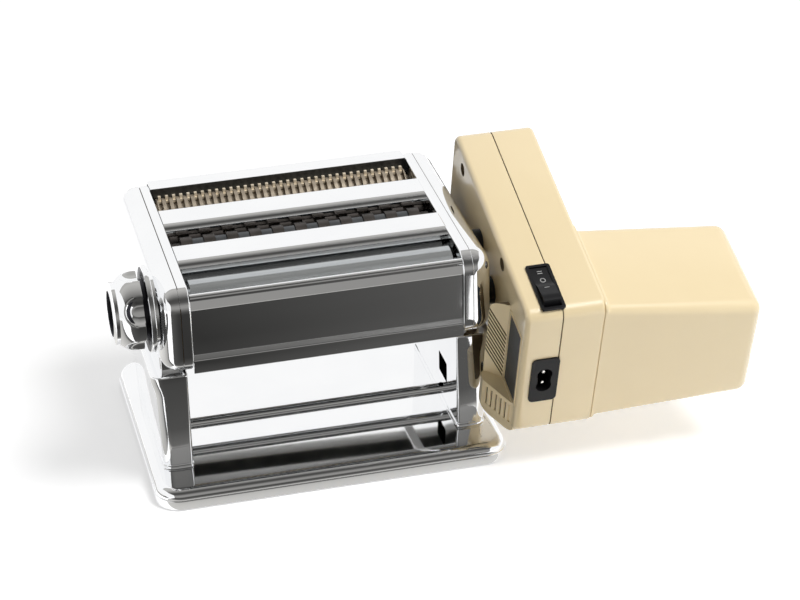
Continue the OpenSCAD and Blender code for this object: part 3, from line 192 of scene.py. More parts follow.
def make(name, shape, angle=SHARP):
    """Mesh object in millimetres, with its normals out and its edges smooth up to an angle."""
    verts, faces = shape
    mesh = bpy.data.meshes.new(name)
    mesh.from_pydata([Vector(v) * MM for v in verts], [], faces)
    bm = bmesh.new()
    bm.from_mesh(mesh)
    bmesh.ops.remove_doubles(bm, verts=bm.verts, dist=1e-7)
    bmesh.ops.recalc_face_normals(bm, faces=bm.faces)
    bm.to_mesh(mesh)
    bm.free()
    obj = bpy.data.objects.new(name, mesh)
    scene.collection.objects.link(obj)
    soften(obj, angle)
    return obj


def along_x(name, outline, x0, x1, angle=SHARP):
    """Solid with a (y, z) outline between two places on the x axis."""
    return make(name, loft([at_x(x, outline) for x in (x0, x1)]), angle)


def along_z(name, outline, z0, z1):
    """Solid with an (x, y) outline between two heights."""
    return make(name, loft([at_z(z, outline) for z in (z0, z1)]))


def tube(name, x0, x1, y, z, r, n=48):
    """Cylinder along x."""
    return along_x(name, [(y + u, z + v) for u, v in circle(r, n)], x0, x1)


def block(name, x0, x1, y0, y1, z0, z1, r=0.01):
    """Box whose edges along x have the radius r."""
    return along_x(name, round_ring(y0, y1, z0, z1, r, 5), x0, x1)


def mirror_x(obj):
    obj.data.transform(Matrix.Scale(-1, 4, (1, 0, 0)))
    obj.data.flip_normals()


def boolean(obj, others, operation):
    """Joins or cuts obj with scratch objects, which are then deleted."""
    for other in others:
        mod = obj.modifiers.new("cut", "BOOLEAN")
        mod.object = other
        mod.operation = operation
        mod.solver = "EXACT"
    result = obj.evaluated_get(bpy.context.evaluated_depsgraph_get())
    mesh = bpy.data.meshes.new_from_object(result)
    obj.modifiers.clear()
    obj.data = mesh
    for other in others:
        bpy.data.objects.remove(other)


def bevel(obj, width):
    mod = obj.modifiers.new("edge", "BEVEL")
    mod.width = width * MM
    mod.segments = 3
    mod.limit_method = "ANGLE"
    mod.angle_limit = math.radians(SHARP)
    mod.harden_normals = True


def in_unit(obj):
    """Moves the vertices of a motor unit piece from the unit's own frame to the machine's."""
    obj.data.transform(Matrix.Translation(UNIT_AT * MM) @ Matrix.Rotation(UNIT_TILT, 4, "X"))


def picked(obj, test):
    """Numbers of the faces whose centre, in millimetres, passes a test."""
    return [f.index for f in obj.data.polygons if test(f.center / MM)]


def paint(obj, faces):
    """Gives the second material to some faces."""
    for i in faces:
        obj.data.polygons[i].material_index = 1


def dress(obj, node, material, *more):
    """obj rides on the body of a CAD node and takes the materials named, in that order."""
    obj.data.materials.clear()
    obj.data.materials.append(materials[material])
    for m in more:
        obj.data.materials.append(materials[m])
    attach(obj, nodes[node]["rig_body"])


def stands_for(obj, node, material, *more):
    """obj is dressed, and shows in place of the CAD node."""
    dress(obj, node, material, *more)
    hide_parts(node)


# ---------- materials ----------

RELIEF = 0.0002


def surface(name, color, other, metallic, rough, scale=(1, 1, 1), grain=120.0, bump=0.0,
            bump_grain=400.0, wear=0.25, **sockets):
    """Principled material whose colour, roughness and relief come from noise."""
    mat = bpy.data.materials.new(name)
    mat.use_nodes = True
    tree = mat.node_tree
    shader = tree.nodes["Principled BSDF"]
    shader.inputs["Metallic"].default_value = metallic
    for key, value in sockets.items():
        shader.inputs[key.replace("_", " ")].default_value = value
    coord = tree.nodes.new("ShaderNodeTexCoord")
    place = tree.nodes.new("ShaderNodeMapping")
    place.inputs["Scale"].default_value = scale
    tree.links.new(coord.outputs["Object"], place.inputs["Vector"])

    def noise(size, detail):
        node = tree.nodes.new("ShaderNodeTexNoise")
        node.inputs["Scale"].default_value = size
        node.inputs["Detail"].default_value = detail
        tree.links.new(place.outputs["Vector"], node.inputs["Vector"])
        return node.outputs["Fac"]

    tone = tree.nodes.new("ShaderNodeValToRGB")
    tone.color_ramp.elements[0].position = 0.5 - wear
    tone.color_ramp.elements[1].position = 0.5 + wear
    tone.color_ramp.elements[0].color = (*other, 1)
    tone.color_ramp.elements[1].color = (*color, 1)
    tree.links.new(noise(grain, 4), tone.inputs["Fac"])
    tree.links.new(tone.outputs["Color"], shader.inputs["Base Color"])
    gloss = tree.nodes.new("ShaderNodeMapRange")
    gloss.inputs["To Min"].default_value = rough[0]
    gloss.inputs["To Max"].default_value = rough[1]
    tree.links.new(noise(grain * 0.4, 6), gloss.inputs["Value"])
    tree.links.new(gloss.outputs["Result"], shader.inputs["Roughness"])
    if bump:
        relief = tree.nodes.new("ShaderNodeBump")
        relief.inputs["Strength"].default_value = bump
        relief.inputs["Distance"].default_value = RELIEF
        tree.links.new(noise(bump_grain, 3), relief.inputs["Height"])
        tree.links.new(relief.outputs["Normal"], shader.inputs["Normal"])
    return mat


# Two colours, metallic, the lowest and highest roughness, and what differs from a plain surface
LOOKS = {
    # the slots of the CAD nodes
    "polished_chrome": ((0.95, 0.955, 0.96), (0.92, 0.925, 0.935), 1, (0.03, 0.07),
                        dict(grain=30, bump=0.03, bump_grain=60)),
    "plated_steel": ((0.7, 0.71, 0.72), (0.62, 0.63, 0.65), 1, (0.15, 0.3), {}),
    "roller_steel": ((0.5, 0.52, 0.53), (0.44, 0.46, 0.47), 1, (0.12, 0.18),
                     dict(scale=(1, 12, 12), bump=0.05, bump_grain=300)),
    "gear_steel": ((0.24, 0.23, 0.22), (0.16, 0.15, 0.15), 1, (0.3, 0.45), {}),
    "bush_brass": ((0.75, 0.57, 0.28), (0.66, 0.5, 0.24), 1, (0.25, 0.4), {}),
    "comb_brass": ((0.88, 0.77, 0.6), (0.76, 0.65, 0.48), 0.15, (0.35, 0.5), dict(bump=0.15)),
    "black_rubber": ((0.03, 0.03, 0.03), (0.02, 0.02, 0.02), 0, (0.6, 0.8),
                     dict(bump=0.3, bump_grain=900)),
    "cream_plastic": ((0.93, 0.765, 0.47), (0.905, 0.735, 0.445), 0, (0.34, 0.44),
                      dict(grain=40, bump=0.06, bump_grain=700, wear=0.4,
                           Coat_Weight=1.0, Coat_Roughness=0.15)),
    "black_plastic": ((0.012, 0.012, 0.013), (0.008, 0.008, 0.009), 0, (0.3, 0.42),
                      dict(bump=0.15, bump_grain=1200, Specular_IOR_Level=0.2)),
    "slate_plate": ((0.032, 0.037, 0.042), (0.025, 0.03, 0.034), 0, (0.35, 0.5),
                    dict(grain=200, Specular_IOR_Level=0.35)),
    "pin_nickel": ((0.8, 0.79, 0.76), (0.74, 0.73, 0.7), 1, (0.1, 0.2), {}),
    "zinc_plate": ((0.6, 0.6, 0.58), (0.52, 0.52, 0.5), 1, (0.35, 0.5), {}),
    "motor_steel": ((0.4, 0.41, 0.43), (0.34, 0.35, 0.37), 1, (0.35, 0.5), {}),
    "gear_nylon": ((0.82, 0.79, 0.68), (0.78, 0.75, 0.64), 0, (0.4, 0.5), dict(bump=0.1)),
    # parts of pieces, and pieces inside the body; the dark disc, shade, seam, well and recess looks
    # are painted shade, and the pale sleeve is painted light in a reflection
    "disc_shade_dark": ((0.09, 0.08, 0.075), (0.05, 0.045, 0.04), 1, (0.35, 0.45), {}),
    "disc_brown": ((0.42, 0.355, 0.27), (0.3, 0.25, 0.19), 0.35, (0.35, 0.45), {}),
    "sleeve_painted_light": ((0.88, 0.88, 0.86), (0.84, 0.84, 0.82), 0, (0.4, 0.5), {}),
    "shade_steel": ((0.12, 0.125, 0.13), (0.08, 0.085, 0.09), 1, (0.3, 0.45), {}),
    "mark_paint": ((0.42, 0.42, 0.41), (0.36, 0.36, 0.35), 0, (0.5, 0.6), {}),
    "seam_dirt": ((0.1, 0.065, 0.03), (0.06, 0.04, 0.02), 0, (0.7, 0.8), {}),
    "well_shade": ((0.16, 0.11, 0.05), (0.12, 0.085, 0.04), 0, (0.5, 0.6), {}),
    "dark_recess": ((0.05, 0.05, 0.06), (0.035, 0.035, 0.04), 1, (0.3, 0.45), {}),
}
materials = {name: surface(name, *look, **more) for name, (*look, more) in LOOKS.items()}

# CAD nodes seen in the slots or behind the panels, by the material that they show in its place: the
# dark discs and the shade steel are darker copies that paint the shade in the slots, and the pale
# spacers paint light into their reflection in the tray
INTERIOR = {
    "disc_shade_dark": ("wide_cutter_front", "wide_cutter_rear"),
    "disc_brown": ("narrow_cutter_front", "narrow_cutter_rear"),
    "shade_steel": ("wide_combs", "roller_scrapers", "cutter_bushes", "roller_bushes",
                    "block_guides", "left_bearing_block", "right_bearing_block", "carriage_bar"),
    # the spacers are painted pale: light painted into their reflection in the tray
    "sleeve_painted_light": ("frame_spacers",),
}
for obj in nodes.values():
    for s in obj.material_slots:
        s.material = materials[s.material.name.split(".")[0]]
for shade, names in INTERIOR.items():
    for name in names:
        for s in nodes[name].material_slots:
            s.material = materials[shade]

# ---------- base and legs ----------

# Inset and height above the tray of the flange at a leg's foot
FOOT = ((-0.55, 0), (-0.55, 0.9), (-0.4, 1.2), (0.5, 1.3), (0.5, 2.1), (0, 2.6))


def base_tray():
    """Hollow sheet, drawn down its inside to the foot and then up its outside."""
    def ring(inset, z):
        x, y = BASE_LEN / 2, BASE_DEP / 2
        return at_z(z, round_ring(inset - x, x - inset, inset - y, y - inset,
                                  BASE_CORNER - inset, 14))

    foot_round = 0.3
    step = SKIRT_TOP + BAND_OUT
    shoulder = BASE_TOP - SKIRT_TOP - BAND_OUT
    profile = quarter_round(shoulder - SHEET, step, 10, BAND_OUT + SHEET)[::-1]
    profile += [(BAND_OUT + SHEET, BASE_LIFT), (foot_round, BASE_LIFT), (0, BASE_LIFT + foot_round)]
    profile += quarter_round(BAND_OUT, SKIRT_TOP - BAND_OUT, 5)
    profile += quarter_round(shoulder, step, 10, BAND_OUT)
    stands_for(make("tray", loft([ring(*p) for p in profile])), "base_tray", "polished_chrome")


def leg(side):
    """Hollow leg, 1 for the right and -1 for the left, wider at its top and with a neck above."""
    def ring(inset, z, out=0.0):
        radii = [r - inset for r in (LEG_CORNER, LEG_INNER_CORNER, LEG_INNER_CORNER, LEG_CORNER)]
        return at_z(z, round_ring(LEG_IN + inset, LEG_OUT + out - inset, LEG_FRONT + inset,
                                  LEG_BACK - inset, radii, 8))

    def neck(z):
        return at_z(z, round_ring(LEG_IN + NECK_IN, LEG_OUT - NECK_IN, LEG_FRONT + NECK_INSET,
                                  LEG_BACK - NECK_INSET, NECK_CORNER, 8))

    edge, lean = 1.0, 1.6
    top = LEG_TOP - 1.5
    foot = BASE_TOP + FOOT[-1][1]
    flare_from = LEG_FLARE_FROM - 2
    rings = [ring(inset, BASE_TOP + up) for inset, up in FOOT]
    for k in range(1, 17):
        t = k / 16
        z = lerp(foot, top, t)
        flare = smooth((z - flare_from) / (top - flare_from))
        rings.append(ring(0, z, lerp(lean * t, LEG_FLARE, flare)))
    rings += [ring(inset, z, LEG_FLARE) for inset, z in quarter_round(edge, LEG_TOP - edge, 5)[1:]]
    rings += [neck(LEG_TOP), neck(CHEEK[2])]
    body = make("leg", loft(rings))
    inner = [ring(SHEET, BASE_TOP + 3), ring(SHEET, LEG_FLARE_FROM)]
    for k in range(1, 9):
        t = k / 8
        inner.append(ring(SHEET, lerp(LEG_FLARE_FROM, top - 0.3, t),
                          (LEG_FLARE - 0.2) * smooth(t)))
    hollow = make("hollow", loft(inner))
    window = block("window", LEG_IN - 1, LEG_IN + SHEET + 1, *LEG_WINDOW, 1.2)
    boolean(body, [hollow, window], "DIFFERENCE")
    soften(body)
    if side < 0:
        mirror_x(body)
    word = "right" if side > 0 else "left"
    body.name = f"{word}_leg_shell"
    stands_for(body, f"{word}_leg", "polished_chrome")


# ---------- front and rear panels ----------

PANEL_SHARP = 24
REAR_OUT = 74
REAR_ROLL = (70.9, 132.4)
REAR_ROLL_R = 3.1


def front_panel():
    """Sheet with a lip and a bead below, and a small step, a slope and a roll above."""
    outline = arc(-71.9, 85.0, 0.9, 270, 180)
    outline += [(-73.2, 88)] + arc(-72.0, 92.2, 1.2, 180, 130) + arc(-70.0, 95.8, 1.2, 230, 180, 4)
    outline += [(-71.2, 123.4), (-72.8, 124.2), (-73.0, 124.6), (-71.2, 129.1)]
    outline += arc(-69.8, 130.6, 2.2, 208, -50, 24)
    outline += [(-70.6, 128.6), (-70.8, 127), (-70.0, 124), (-70.0, 96.2), (-72.0, 92.4),
                (-72.0, 88), (-71.6, 84.6)]
    body = along_x("panel_front", outline, -FRAME_IN, FRAME_IN, PANEL_SHARP)
    stands_for(body, "front_panel", "polished_chrome")


def rear_panel():
    """Sheet whose rolled top edge runs forward and down to the rear slot; painted shade on its
    inside.
    """
    low, high = 129.5, CHEEK[3]
    outline = [(REAR_FROM, low), (REAR_FROM, high)] + arc(*REAR_ROLL, REAR_ROLL_R, 90, 0)
    outline += [(REAR_OUT, REAR_LOW), (REAR_OUT - SHEET, REAR_LOW)]
    outline += arc(*REAR_ROLL, REAR_ROLL_R - SHEET, 0, 90)
    outline += [(REAR_FROM + SHEET, high - SHEET), (REAR_FROM + SHEET, low)]
    body = along_x("panel_rear", outline, -FRAME_IN, FRAME_IN, PANEL_SHARP)
    stands_for(body, "rear_panel", "polished_chrome", "shade_steel")
    skin = SHEET * 0.9
    # Its inside faces get painted shade.
    paint(body, picked(body, lambda c: abs(c.x) < 1 and c.y < REAR_OUT - skin
                       and c.z < high - skin))


# ---------- cheeks and knob ----------


def cheek(side):
    """Hollow cover of a cheek, 1 for the right and -1 for the left, with painted shade in its seam
    groove.
    """
    y0, y1, z0, z1 = CHEEK
    seam_in, seam_w = 0.6, 0.32

    def ring(inset, x):
        return at_x(x, round_ring(y0 + inset, y1 - inset, z0 + inset, z1 - inset,
                                  max(CHEEK_CORNER - inset, 0.3), 12))

    profile = quarter_round(COVER_EDGE - SHEET, CHEEK_OUT - COVER_EDGE, 16, SHEET)[::-1]
    profile += [(SHEET, SEAM_AT), (seam_in, SEAM_AT), (seam_in, SEAM_AT + seam_w),
                (0.15, SEAM_AT + 0.36), (0, SEAM_AT + 0.5)]
    profile += quarter_round(COVER_EDGE, CHEEK_OUT - COVER_EDGE, 16)
    body = make("cheek", loft([ring(*p) for p in profile]))
    if side > 0:
        places = [(y, z, DRIVE_HOLE_R) for y, z in DRIVES]
        places += [(y + PIN_FROM_DRIVE[0], z + PIN_FROM_DRIVE[1], PIN_HOLE_R) for y, z in DRIVES]
    else:
        places = [(FRONT_ROLLER_Y, ROLLER_Z, SHAFT_HOLE_R)]
    holes = [tube("hole", CHEEK_OUT - HOLE_BACK, CHEEK_OUT + 1, *place) for place in places]
    boolean(body, holes, "DIFFERENCE")
    soften(body)
    if side < 0:
        mirror_x(body)
    word = "right" if side > 0 else "left"
    body.name = f"{word}_cheek"
    stands_for(body, f"{word}_cheek_cover", "polished_chrome", "seam_dirt")

    def in_seam(c):
        within = y0 + 0.9 < c.y < y1 - 0.9 and z0 + 0.9 < c.z < z1 - 0.9
        return SEAM_AT < abs(c.x) < SEAM_AT + 0.35 and not within

    # Faces of the seam groove get painted shade.
    paint(body, picked(body, in_seam))


def knob():
    """Knob: a skirt, a gap painted dark as shade, a body with five round scoops, and a cup in its
    face painted dark as shade.
    """
    scoops, scoop_r, scoop_deep, scoop_end, first = 5, 10.5, 5.2, 8.5, math.radians(64.5)
    centre = KNOB_BODY + scoop_r - scoop_deep
    gap_r, gap_end = 17.5, KNOB_SKIRT + 2.3
    face_r, cup_r, cup_floor = 13, 12.6, KNOB_LEN - 3
    edge_r, edge_turn, edge_steps = 13, 66, 20
    points_per_scoop = 44

    def smooth_min(a, b, k):
        h = max(k - abs(a - b), 0) / k
        return min(a, b) - h * h * k / 4

    def fluted(r, x, angle):
        """Radius at a place on the knob's side, where round scoops end short of its face."""
        phi = ((angle + first) * scoops / math.tau + 0.5) % 1 - 0.5
        phi = phi * math.tau / scoops
        size = math.sqrt(max(scoop_r ** 2 - max(x - scoop_end, 0) ** 2, 0))
        off = centre * math.sin(phi)
        if abs(off) >= size:
            return r
        dip = centre * math.cos(phi) - math.sqrt(size ** 2 - off ** 2)
        return smooth_min(r, dip, 1.4)

    # Distance from the cheek side, radius, and whether the scoops cut it
    profile = [(0, KNOB_BORE, False), (0, KNOB_R - 0.6, False), (0.15, KNOB_R - 0.25, False),
               (0.6, KNOB_R, False), (KNOB_SKIRT - 0.6, KNOB_R, False),
               (KNOB_SKIRT - 0.2, KNOB_R - 0.2, False), (KNOB_SKIRT, KNOB_R - 0.7, False),
               (KNOB_SKIRT, gap_r - 0.1, False), (gap_end, gap_r - 0.2, False),
               (gap_end, KNOB_BODY - 0.5, True), (gap_end + 0.15, KNOB_BODY - 0.15, True)]
    edge_x = KNOB_LEN - edge_r
    profile += [(lerp(gap_end + 0.5, edge_x, k / 7), KNOB_BODY, True) for k in range(8)]
    for k in range(1, edge_steps + 1):
        a = math.radians(edge_turn * k / edge_steps)
        profile.append((edge_x + edge_r * math.sin(a),
                        KNOB_BODY - edge_r + edge_r * math.cos(a), True))
    profile += [(KNOB_LEN - 0.35, face_r + 0.6, False), (KNOB_LEN, face_r, False),
                (KNOB_LEN - 0.1, face_r - 0.2, False), (KNOB_LEN - 0.5, cup_r, False),
                (cup_floor, cup_r, False), (cup_floor, SPRING_SEAT_R, False),
                (SPRING_SEAT, SPRING_SEAT_R, False), (SPRING_SEAT, KNOB_BORE, False)]
    count = scoops * points_per_scoop
    rings = []
    for x, r, scooped in profile:
        ring = []
        for k in range(count):
            angle = math.tau * k / count
            rr = max(fluted(r, x, angle), gap_r) if scooped else r
            ring.append((-KNOB_X - x, FRONT_ROLLER_Y + rr * math.sin(angle),
                         ROLLER_Z + rr * math.cos(angle)))
        rings.append(ring)
    rings.append(rings[0])
    sharp = 40
    body = make("knob_shell", loft(rings, False), sharp)
    pin = tube("pin", -KNOB_X - 0.9, -KNOB_X + 0.3, FRONT_ROLLER_Y, ROLLER_Z + INDEX_PIN_AT,
               INDEX_PIN_R, 24)
    boolean(body, [pin], "UNION")
    soften(body, sharp)
    stands_for(body, "regulator_knob", "polished_chrome", "dark_recess")

    def dark(c):
        """In the gap between skirt and body, or in the cup: faces that get painted shade."""
        r = math.hypot(c.y - FRONT_ROLLER_Y, c.z - ROLLER_Z)
        in_gap = r < KNOB_BODY - 1 and KNOB_SKIRT - 0.05 < -c.x - KNOB_X < gap_end + 0.02
        return in_gap or (r < face_r and c.x < -KNOB_X - 7)

    paint(body, picked(body, dark))


# ---------- motor unit ----------


def side_box(inset, depth, edge, open_chamfer=0.0):
    """Rings of a case half, from its foot at x = 0 to its rounded face at depth."""
    def ring(more, x):
        i = inset + more
        return at_x(x, round_ring(i, CASE_LEN - i, i - CASE_H, -i, max(CASE_CORNER - i, 0.3)))

    if open_chamfer:
        profile = [(open_chamfer, 0), (open_chamfer, 0.5), (0.2, 0.55), (0, 0.8)]
    else:
        profile = [(0, -0.5)]
    profile += quarter_round(edge, depth - edge, 8)
    return [ring(*p) for p in profile]


def housing(inset):
    """Rings of the motor housing; its outside is flared where it leaves the case."""
    x0 = OUTER_D - HOUSING_ROOT - HOUSING_ROOT * inset
    x1 = OUTER_D + HOUSING_LEN - inset
    flare = HOUSING_FLARE if inset == 0 else 0.0
    end = HOUSING_EDGE - inset

    def ring(x, more, grow):
        t = (x - x0) / (x1 - x0)
        i = inset + more
        y0, y1, z0, z1, corner = (lerp(a, b, t) for a, b in zip(HOUSING_NEAR, HOUSING_FAR))
        return at_x(x, round_ring(y0 + i, y1 - i + grow, z0 + i - grow, z1 - i + grow,
                                  max(corner - i, 0.4)))

    rings = [ring(x0, 0, flare)]
    if flare:
        rings += [ring(OUTER_D + flare * (1 - math.cos(a)), 0, flare * (1 - math.sin(a)))
                  for a in quarter(8)]
    return rings + [ring(x, more, 0) for more, x in quarter_round(end, x1 - end, 8)]


def case_holes():
    """Cuts for the switch, through the case's top, and for the inlet, through its front."""
    x, y, w, h = SWITCH
    w, h = w / 2 - BEZEL_EDGE, h / 2 - BEZEL_EDGE
    switch = block("hole", x - w, x + w, y - h, y + h, -14, 1)
    x, z, w, h = INLET
    w, h = w / 2 - BEZEL_EDGE, h / 2 - BEZEL_EDGE
    return [switch, block("hole", x - w, x + w, -3, 15, z - h, z + h)]


def outer_case():
    """Outer half of the case with the motor housing, its five vents and the joint groove, which has
    painted shade.
    """
    body = make("outer", loft(side_box(0, OUTER_D, CASE_EDGE, 0.7)))
    boolean(body, [make("housing", loft(housing(0)))], "UNION")
    cut = [make("inside", loft(side_box(WALL, OUTER_D - WALL, INSIDE_EDGE))),
           make("inside", loft(housing(WALL)))]
    cut += case_holes()
    end = OUTER_D + HOUSING_LEN
    cut += [block("slot", end - 6, end + 4, *VENT_Y, z, z + VENT_W, 1.1) for z in VENT_Z]
    boolean(body, cut, "DIFFERENCE")
    soften(body, CASE_SHARP)
    # Faces of the joint groove, which get painted shade.
    groove = picked(body, lambda c: 0.01 < c.x < 0.56)
    in_unit(body)
    body.name = "outer_shell"
    stands_for(body, "outer_case", "cream_plastic", "seam_dirt")
    paint(body, groove)


def slope_outside(y0, y1, deeper):
    """Outline of the region outside the slope from the case at y0 to the bulge's face at y1."""
    far = BULGE_FACE + 1
    top = y1 + (1 + deeper) * (y1 - y0) / (BULGE_FACE - INNER_D)
    return [(-far, -5), (-far, top), (deeper - INNER_D, y0), (deeper - INNER_D, -5)]


def clipped(outline, y0, y1):
    """The part of a slope's outline between y0 and y1."""
    (x0, _), (_, top), (x1, low), _ = outline
    at = [lerp(x1, x0, (y - low) / (top - low)) for y in (y0, y1)]
    return [(x0, y0), (at[0], y0), (at[1], y1), (x0, y1)]


LABEL_SIDE = LABEL[1] + LABEL_LIP
LABEL_LOW = LABEL[2] - LABEL_LIP
BESIDE_LABEL = (LABEL_SIDE, LABEL_SIDE + BULGE_SLOPE)
BELOW_LABEL = (LABEL[0], LABEL_SIDE)


def in_groove(c):
    """Whether a face of the inner case lies in a groove beside or below the label."""
    if c.x >= -0.6 - INNER_D:
        return False
    rise = BULGE_FACE - INNER_D
    if c.y > LABEL_SIDE + 0.3:
        slope = INNER_D + (c.y - LABEL_SIDE) * (rise / BULGE_SLOPE)
        return -c.x < slope - 0.6 and c.z > LABEL[2] - 8
    slope = INNER_D + (c.y - LABEL[0]) * (rise / (LABEL_SIDE - LABEL[0]))
    return -c.x < slope - 0.9 and BULGE[2] + 4 < c.z < LABEL[2] - 3.5


def label_bulge():
    """Bulge of the inner case, cut away to two slopes, beside the label and below it."""
    y0, y1, z0, z1 = BULGE
    rings = [at_x(BULGE_FOOT, round_ring(y0, y1, z0, z1, BULGE_R))]
    rings += [at_x(x, round_ring(y0 + i, y1 - i, z0 + i, z1 - i, BULGE_R - i))
              for i, x in quarter_round(BULGE_EDGE, BULGE_FACE - BULGE_EDGE, 8)]
    bulge = make("bulge", loft(rings))
    mirror_x(bulge)
    slopes = [along_z("cut", slope_outside(*BESIDE_LABEL, SLOPE_DEEP), LABEL_LOW, 10),
              along_z("cut", slope_outside(*BELOW_LABEL, SLOPE_DEEP), z0 - 1, LABEL_LOW + 0.01)]
    boolean(bulge, slopes, "DIFFERENCE")
    return bulge


def label_grooves():
    """Cuts for the upright grooves below the label and for the aslant ones beside it."""
    grooves = []
    y = LABEL[0] + 2
    while y < LABEL_SIDE - 3:
        outline = clipped(slope_outside(*BELOW_LABEL, RIB_DEEP), y, y + RIB_W)
        grooves.append(along_z("groove", outline, BULGE[2] + BULGE_R, LABEL[2] - 4))
        y += RIB_PITCH
    z = LABEL[2] - 2
    outline = clipped(slope_outside(*BESIDE_LABEL, RIB_DEEP), LABEL_SIDE + 0.6,
                      BESIDE_LABEL[1] - 1.2)
    while z + RIB_SLANT * BULGE_SLOPE < BULGE[3] - 2:
        groove = along_z("groove", outline, z, z + SLANT_W)
        for v in groove.data.vertices:
            v.co.z += RIB_SLANT * (v.co.y - LABEL_SIDE * MM)
        grooves.append(groove)
        z += SLANT_PITCH
    return grooves


def inner_case():
    """Inner half of the case, with the label's bulge, the screw posts and the drive's spigot."""
    body = make("inner", loft(side_box(0, INNER_D, CASE_EDGE, 0.3)))
    mirror_x(body)
    boolean(body, [label_bulge()], "UNION")
    boolean(body, label_grooves(), "DIFFERENCE")
    lip = block("lip", -INNER_D - 0.45, -INNER_D + 0.5, LABEL[0] - LABEL_LIP, LABEL_SIDE,
                LABEL_LOW, LABEL[3] + LABEL_LIP, 1.2)
    boolean(body, [lip], "UNION")
    inside = make("inside", loft(side_box(WALL, INNER_D - WALL, INSIDE_EDGE)))
    mirror_x(inside)
    boolean(body, [inside], "DIFFERENCE")
    posts = [tube("post", -INNER_D + 1, -0.02, y, z, POST_R) for y, z in SCREWS]
    boolean(body, posts, "UNION")
    cut = [tube("well", -INNER_D - 2, WELL_DEEP - INNER_D, y, z, WELL_R) for y, z in SCREWS]
    cut += [tube("bore", -INNER_D, 1, y, z, SCREW_BORE, 24) for y, z in SCREWS]
    cut += [block("recess", -INNER_D - 20, -INNER_D + LABEL_DEEP, *LABEL)]
    cut += [tube("shaft", -INNER_D - 2, 0, *SPIGOT, SHAFT_BORE)]
    cut += case_holes()
    boolean(body, cut, "DIFFERENCE")
    soften(body, CASE_SHARP)

    def in_well(c):
        return c.x > 0.6 - INNER_D and any(math.hypot(c.y - y, c.z - z) < WELL_R + 0.05
                                           for y, z in SCREWS)

    shaded = picked(body, in_well) + picked(body, in_groove)
    in_unit(body)
    body.name = "inner_shell"
    stands_for(body, "inner_case", "cream_plastic", "well_shade")
    paint(body, shaded)
    # The spigot and the pin boss are black: painted shade, so that they sink into the dark gap
    # beside the cheek.
    spigot = tube("spigot", -27.9, -20.2, *SPIGOT, SPIGOT_R)
    boolean(spigot, [tube("bore", -30, -19, *SPIGOT, SHAFT_BORE)], "DIFFERENCE")
    boss = tube("boss", -27, -20.2, *PIN_BOSS, BOSS_R)
    for obj in (spigot, boss):
        soften(obj)
        bevel(obj, 0.5)
        in_unit(obj)
        dress(obj, "inner_case", "black_plastic")


def rocker():
    """Switch rocker, its lower half higher, with the marks II, O and I raised on its top."""
    half_w, half_l, top = 5.0, 14.75, 5.4
    bar_half, bar_gap, mark_foot = 0.25, 1.6, -0.1
    ring_r, ring_hole, ring_stretch, ring_top = 1.6, 1.1, 1.15, 0.09

    def height(y):
        rise = 1.2 * (y / half_l) ** 2
        return top + rise + 1.1 * smooth((2 - y) / 4) * smooth((y + half_l) / 5)

    steps = [lerp(-half_l, half_l, k / 24) for k in range(25)]
    outline = [(-half_l, 1.6), (0, -3.2), (half_l, 1.6)] + [(y, height(y)) for y in reversed(steps)]
    body = along_x("rocker_body", outline, -half_w, half_w)
    boolean(body, [tube("axle", -half_w - 0.9, half_w + 0.9, 0, 0, 1.15)], "UNION")
    bevel(body, 0.5)

    def bar():
        return along_x("mark", [(-bar_half, mark_foot), (bar_half, mark_foot), (bar_half, 0.07),
                                (-bar_half, 0.07)], -1.4, 1.4)

    def ring():
        rings = [[(u, v * ring_stretch, z) for u, v in circle(r, 40)]
                 for r, z in ((ring_r, mark_foot), (ring_r, ring_top), (ring_hole, ring_top),
                              (ring_hole, mark_foot))]
        return make("mark", loft(rings + rings[:1], False))

    place = (Matrix.Translation(Vector((SWITCH[0], SWITCH[1], ROCKER_Z)) * MM)
             @ Matrix.Rotation(ROCKER_TILT, 4, "X"))
    marks = []
    for y, form in ((11.2 - bar_gap / 2, bar), (11.2 + bar_gap / 2, bar), (4.6, ring), (-3.2, bar)):
        mark = form()
        slope = math.atan2(height(y + 0.1) - height(y - 0.1), 0.2)
        mark.data.transform(Matrix.Translation(Vector((0, y, height(y))) * MM)
                            @ Matrix.Rotation(slope, 4, "X"))
        marks.append(mark)
    body.data.transform(place)
    in_unit(body)
    stands_for(body, "switch_rocker", "black_plastic")
    for i, mark in enumerate(marks):
        mark.data.transform(place)
        in_unit(mark)
        mark.name = f"rocker_mark_{i + 1}"
        dress(mark, "switch_rocker", "black_plastic")
        mark.data.materials[0] = materials["mark_paint"]


def pins():
    """Two contact pins with bright round tips, and shanks painted dark as the shade in the inlet's
    wells.
    """
    profile = ((1.2, 20.4), (1.2, 2.2), (1.12, 1.85), (0.85, 1.6), (0.4, 1.5))
    verts, faces = loft([[(u, y, v) for u, v in circle(r, 24)] for r, y in profile])
    both, count = [], len(verts)
    for dz in (-PIN_PITCH / 2, PIN_PITCH / 2):
        both += [(x + INLET[0], y, z + INLET[1] + dz) for x, y, z in verts]
    faces = faces + [tuple(i + count for i in face) for face in faces]
    body = make("contact_pins", (both, faces))
    shank = picked(body, lambda c: c.y > 2.3)
    in_unit(body)
    stands_for(body, "inlet_pins", "pin_nickel", "dark_recess")
    # The shanks get painted shade.
    paint(body, shank)


base_tray()
leg(1)
leg(-1)
front_panel()
rear_panel()
cheek(1)
cheek(-1)
knob()
outer_case()
inner_case()
rocker()
pins()
for name in ("inlet_body", "switch_bezel"):
    bevel(nodes[name], 0.3)

# ---------- camera, floor and light ----------

CAMERA_AT = (-0.2625, -1.3326, 0.8228)
CAMERA_BACK = Vector((-0.2052, -0.8528, 0.4802)).normalized()
CAMERA_RIGHT = Vector((0.9722, -0.2340, 0)).normalized()
CAMERA_ROLL, CAMERA_LENS, CAMERA_SENSOR = math.radians(-1.197), 118.71, 36
FLOOR_HALF, FLOOR_GLOW = 4000, 0.5
CARD_Z = 0.5


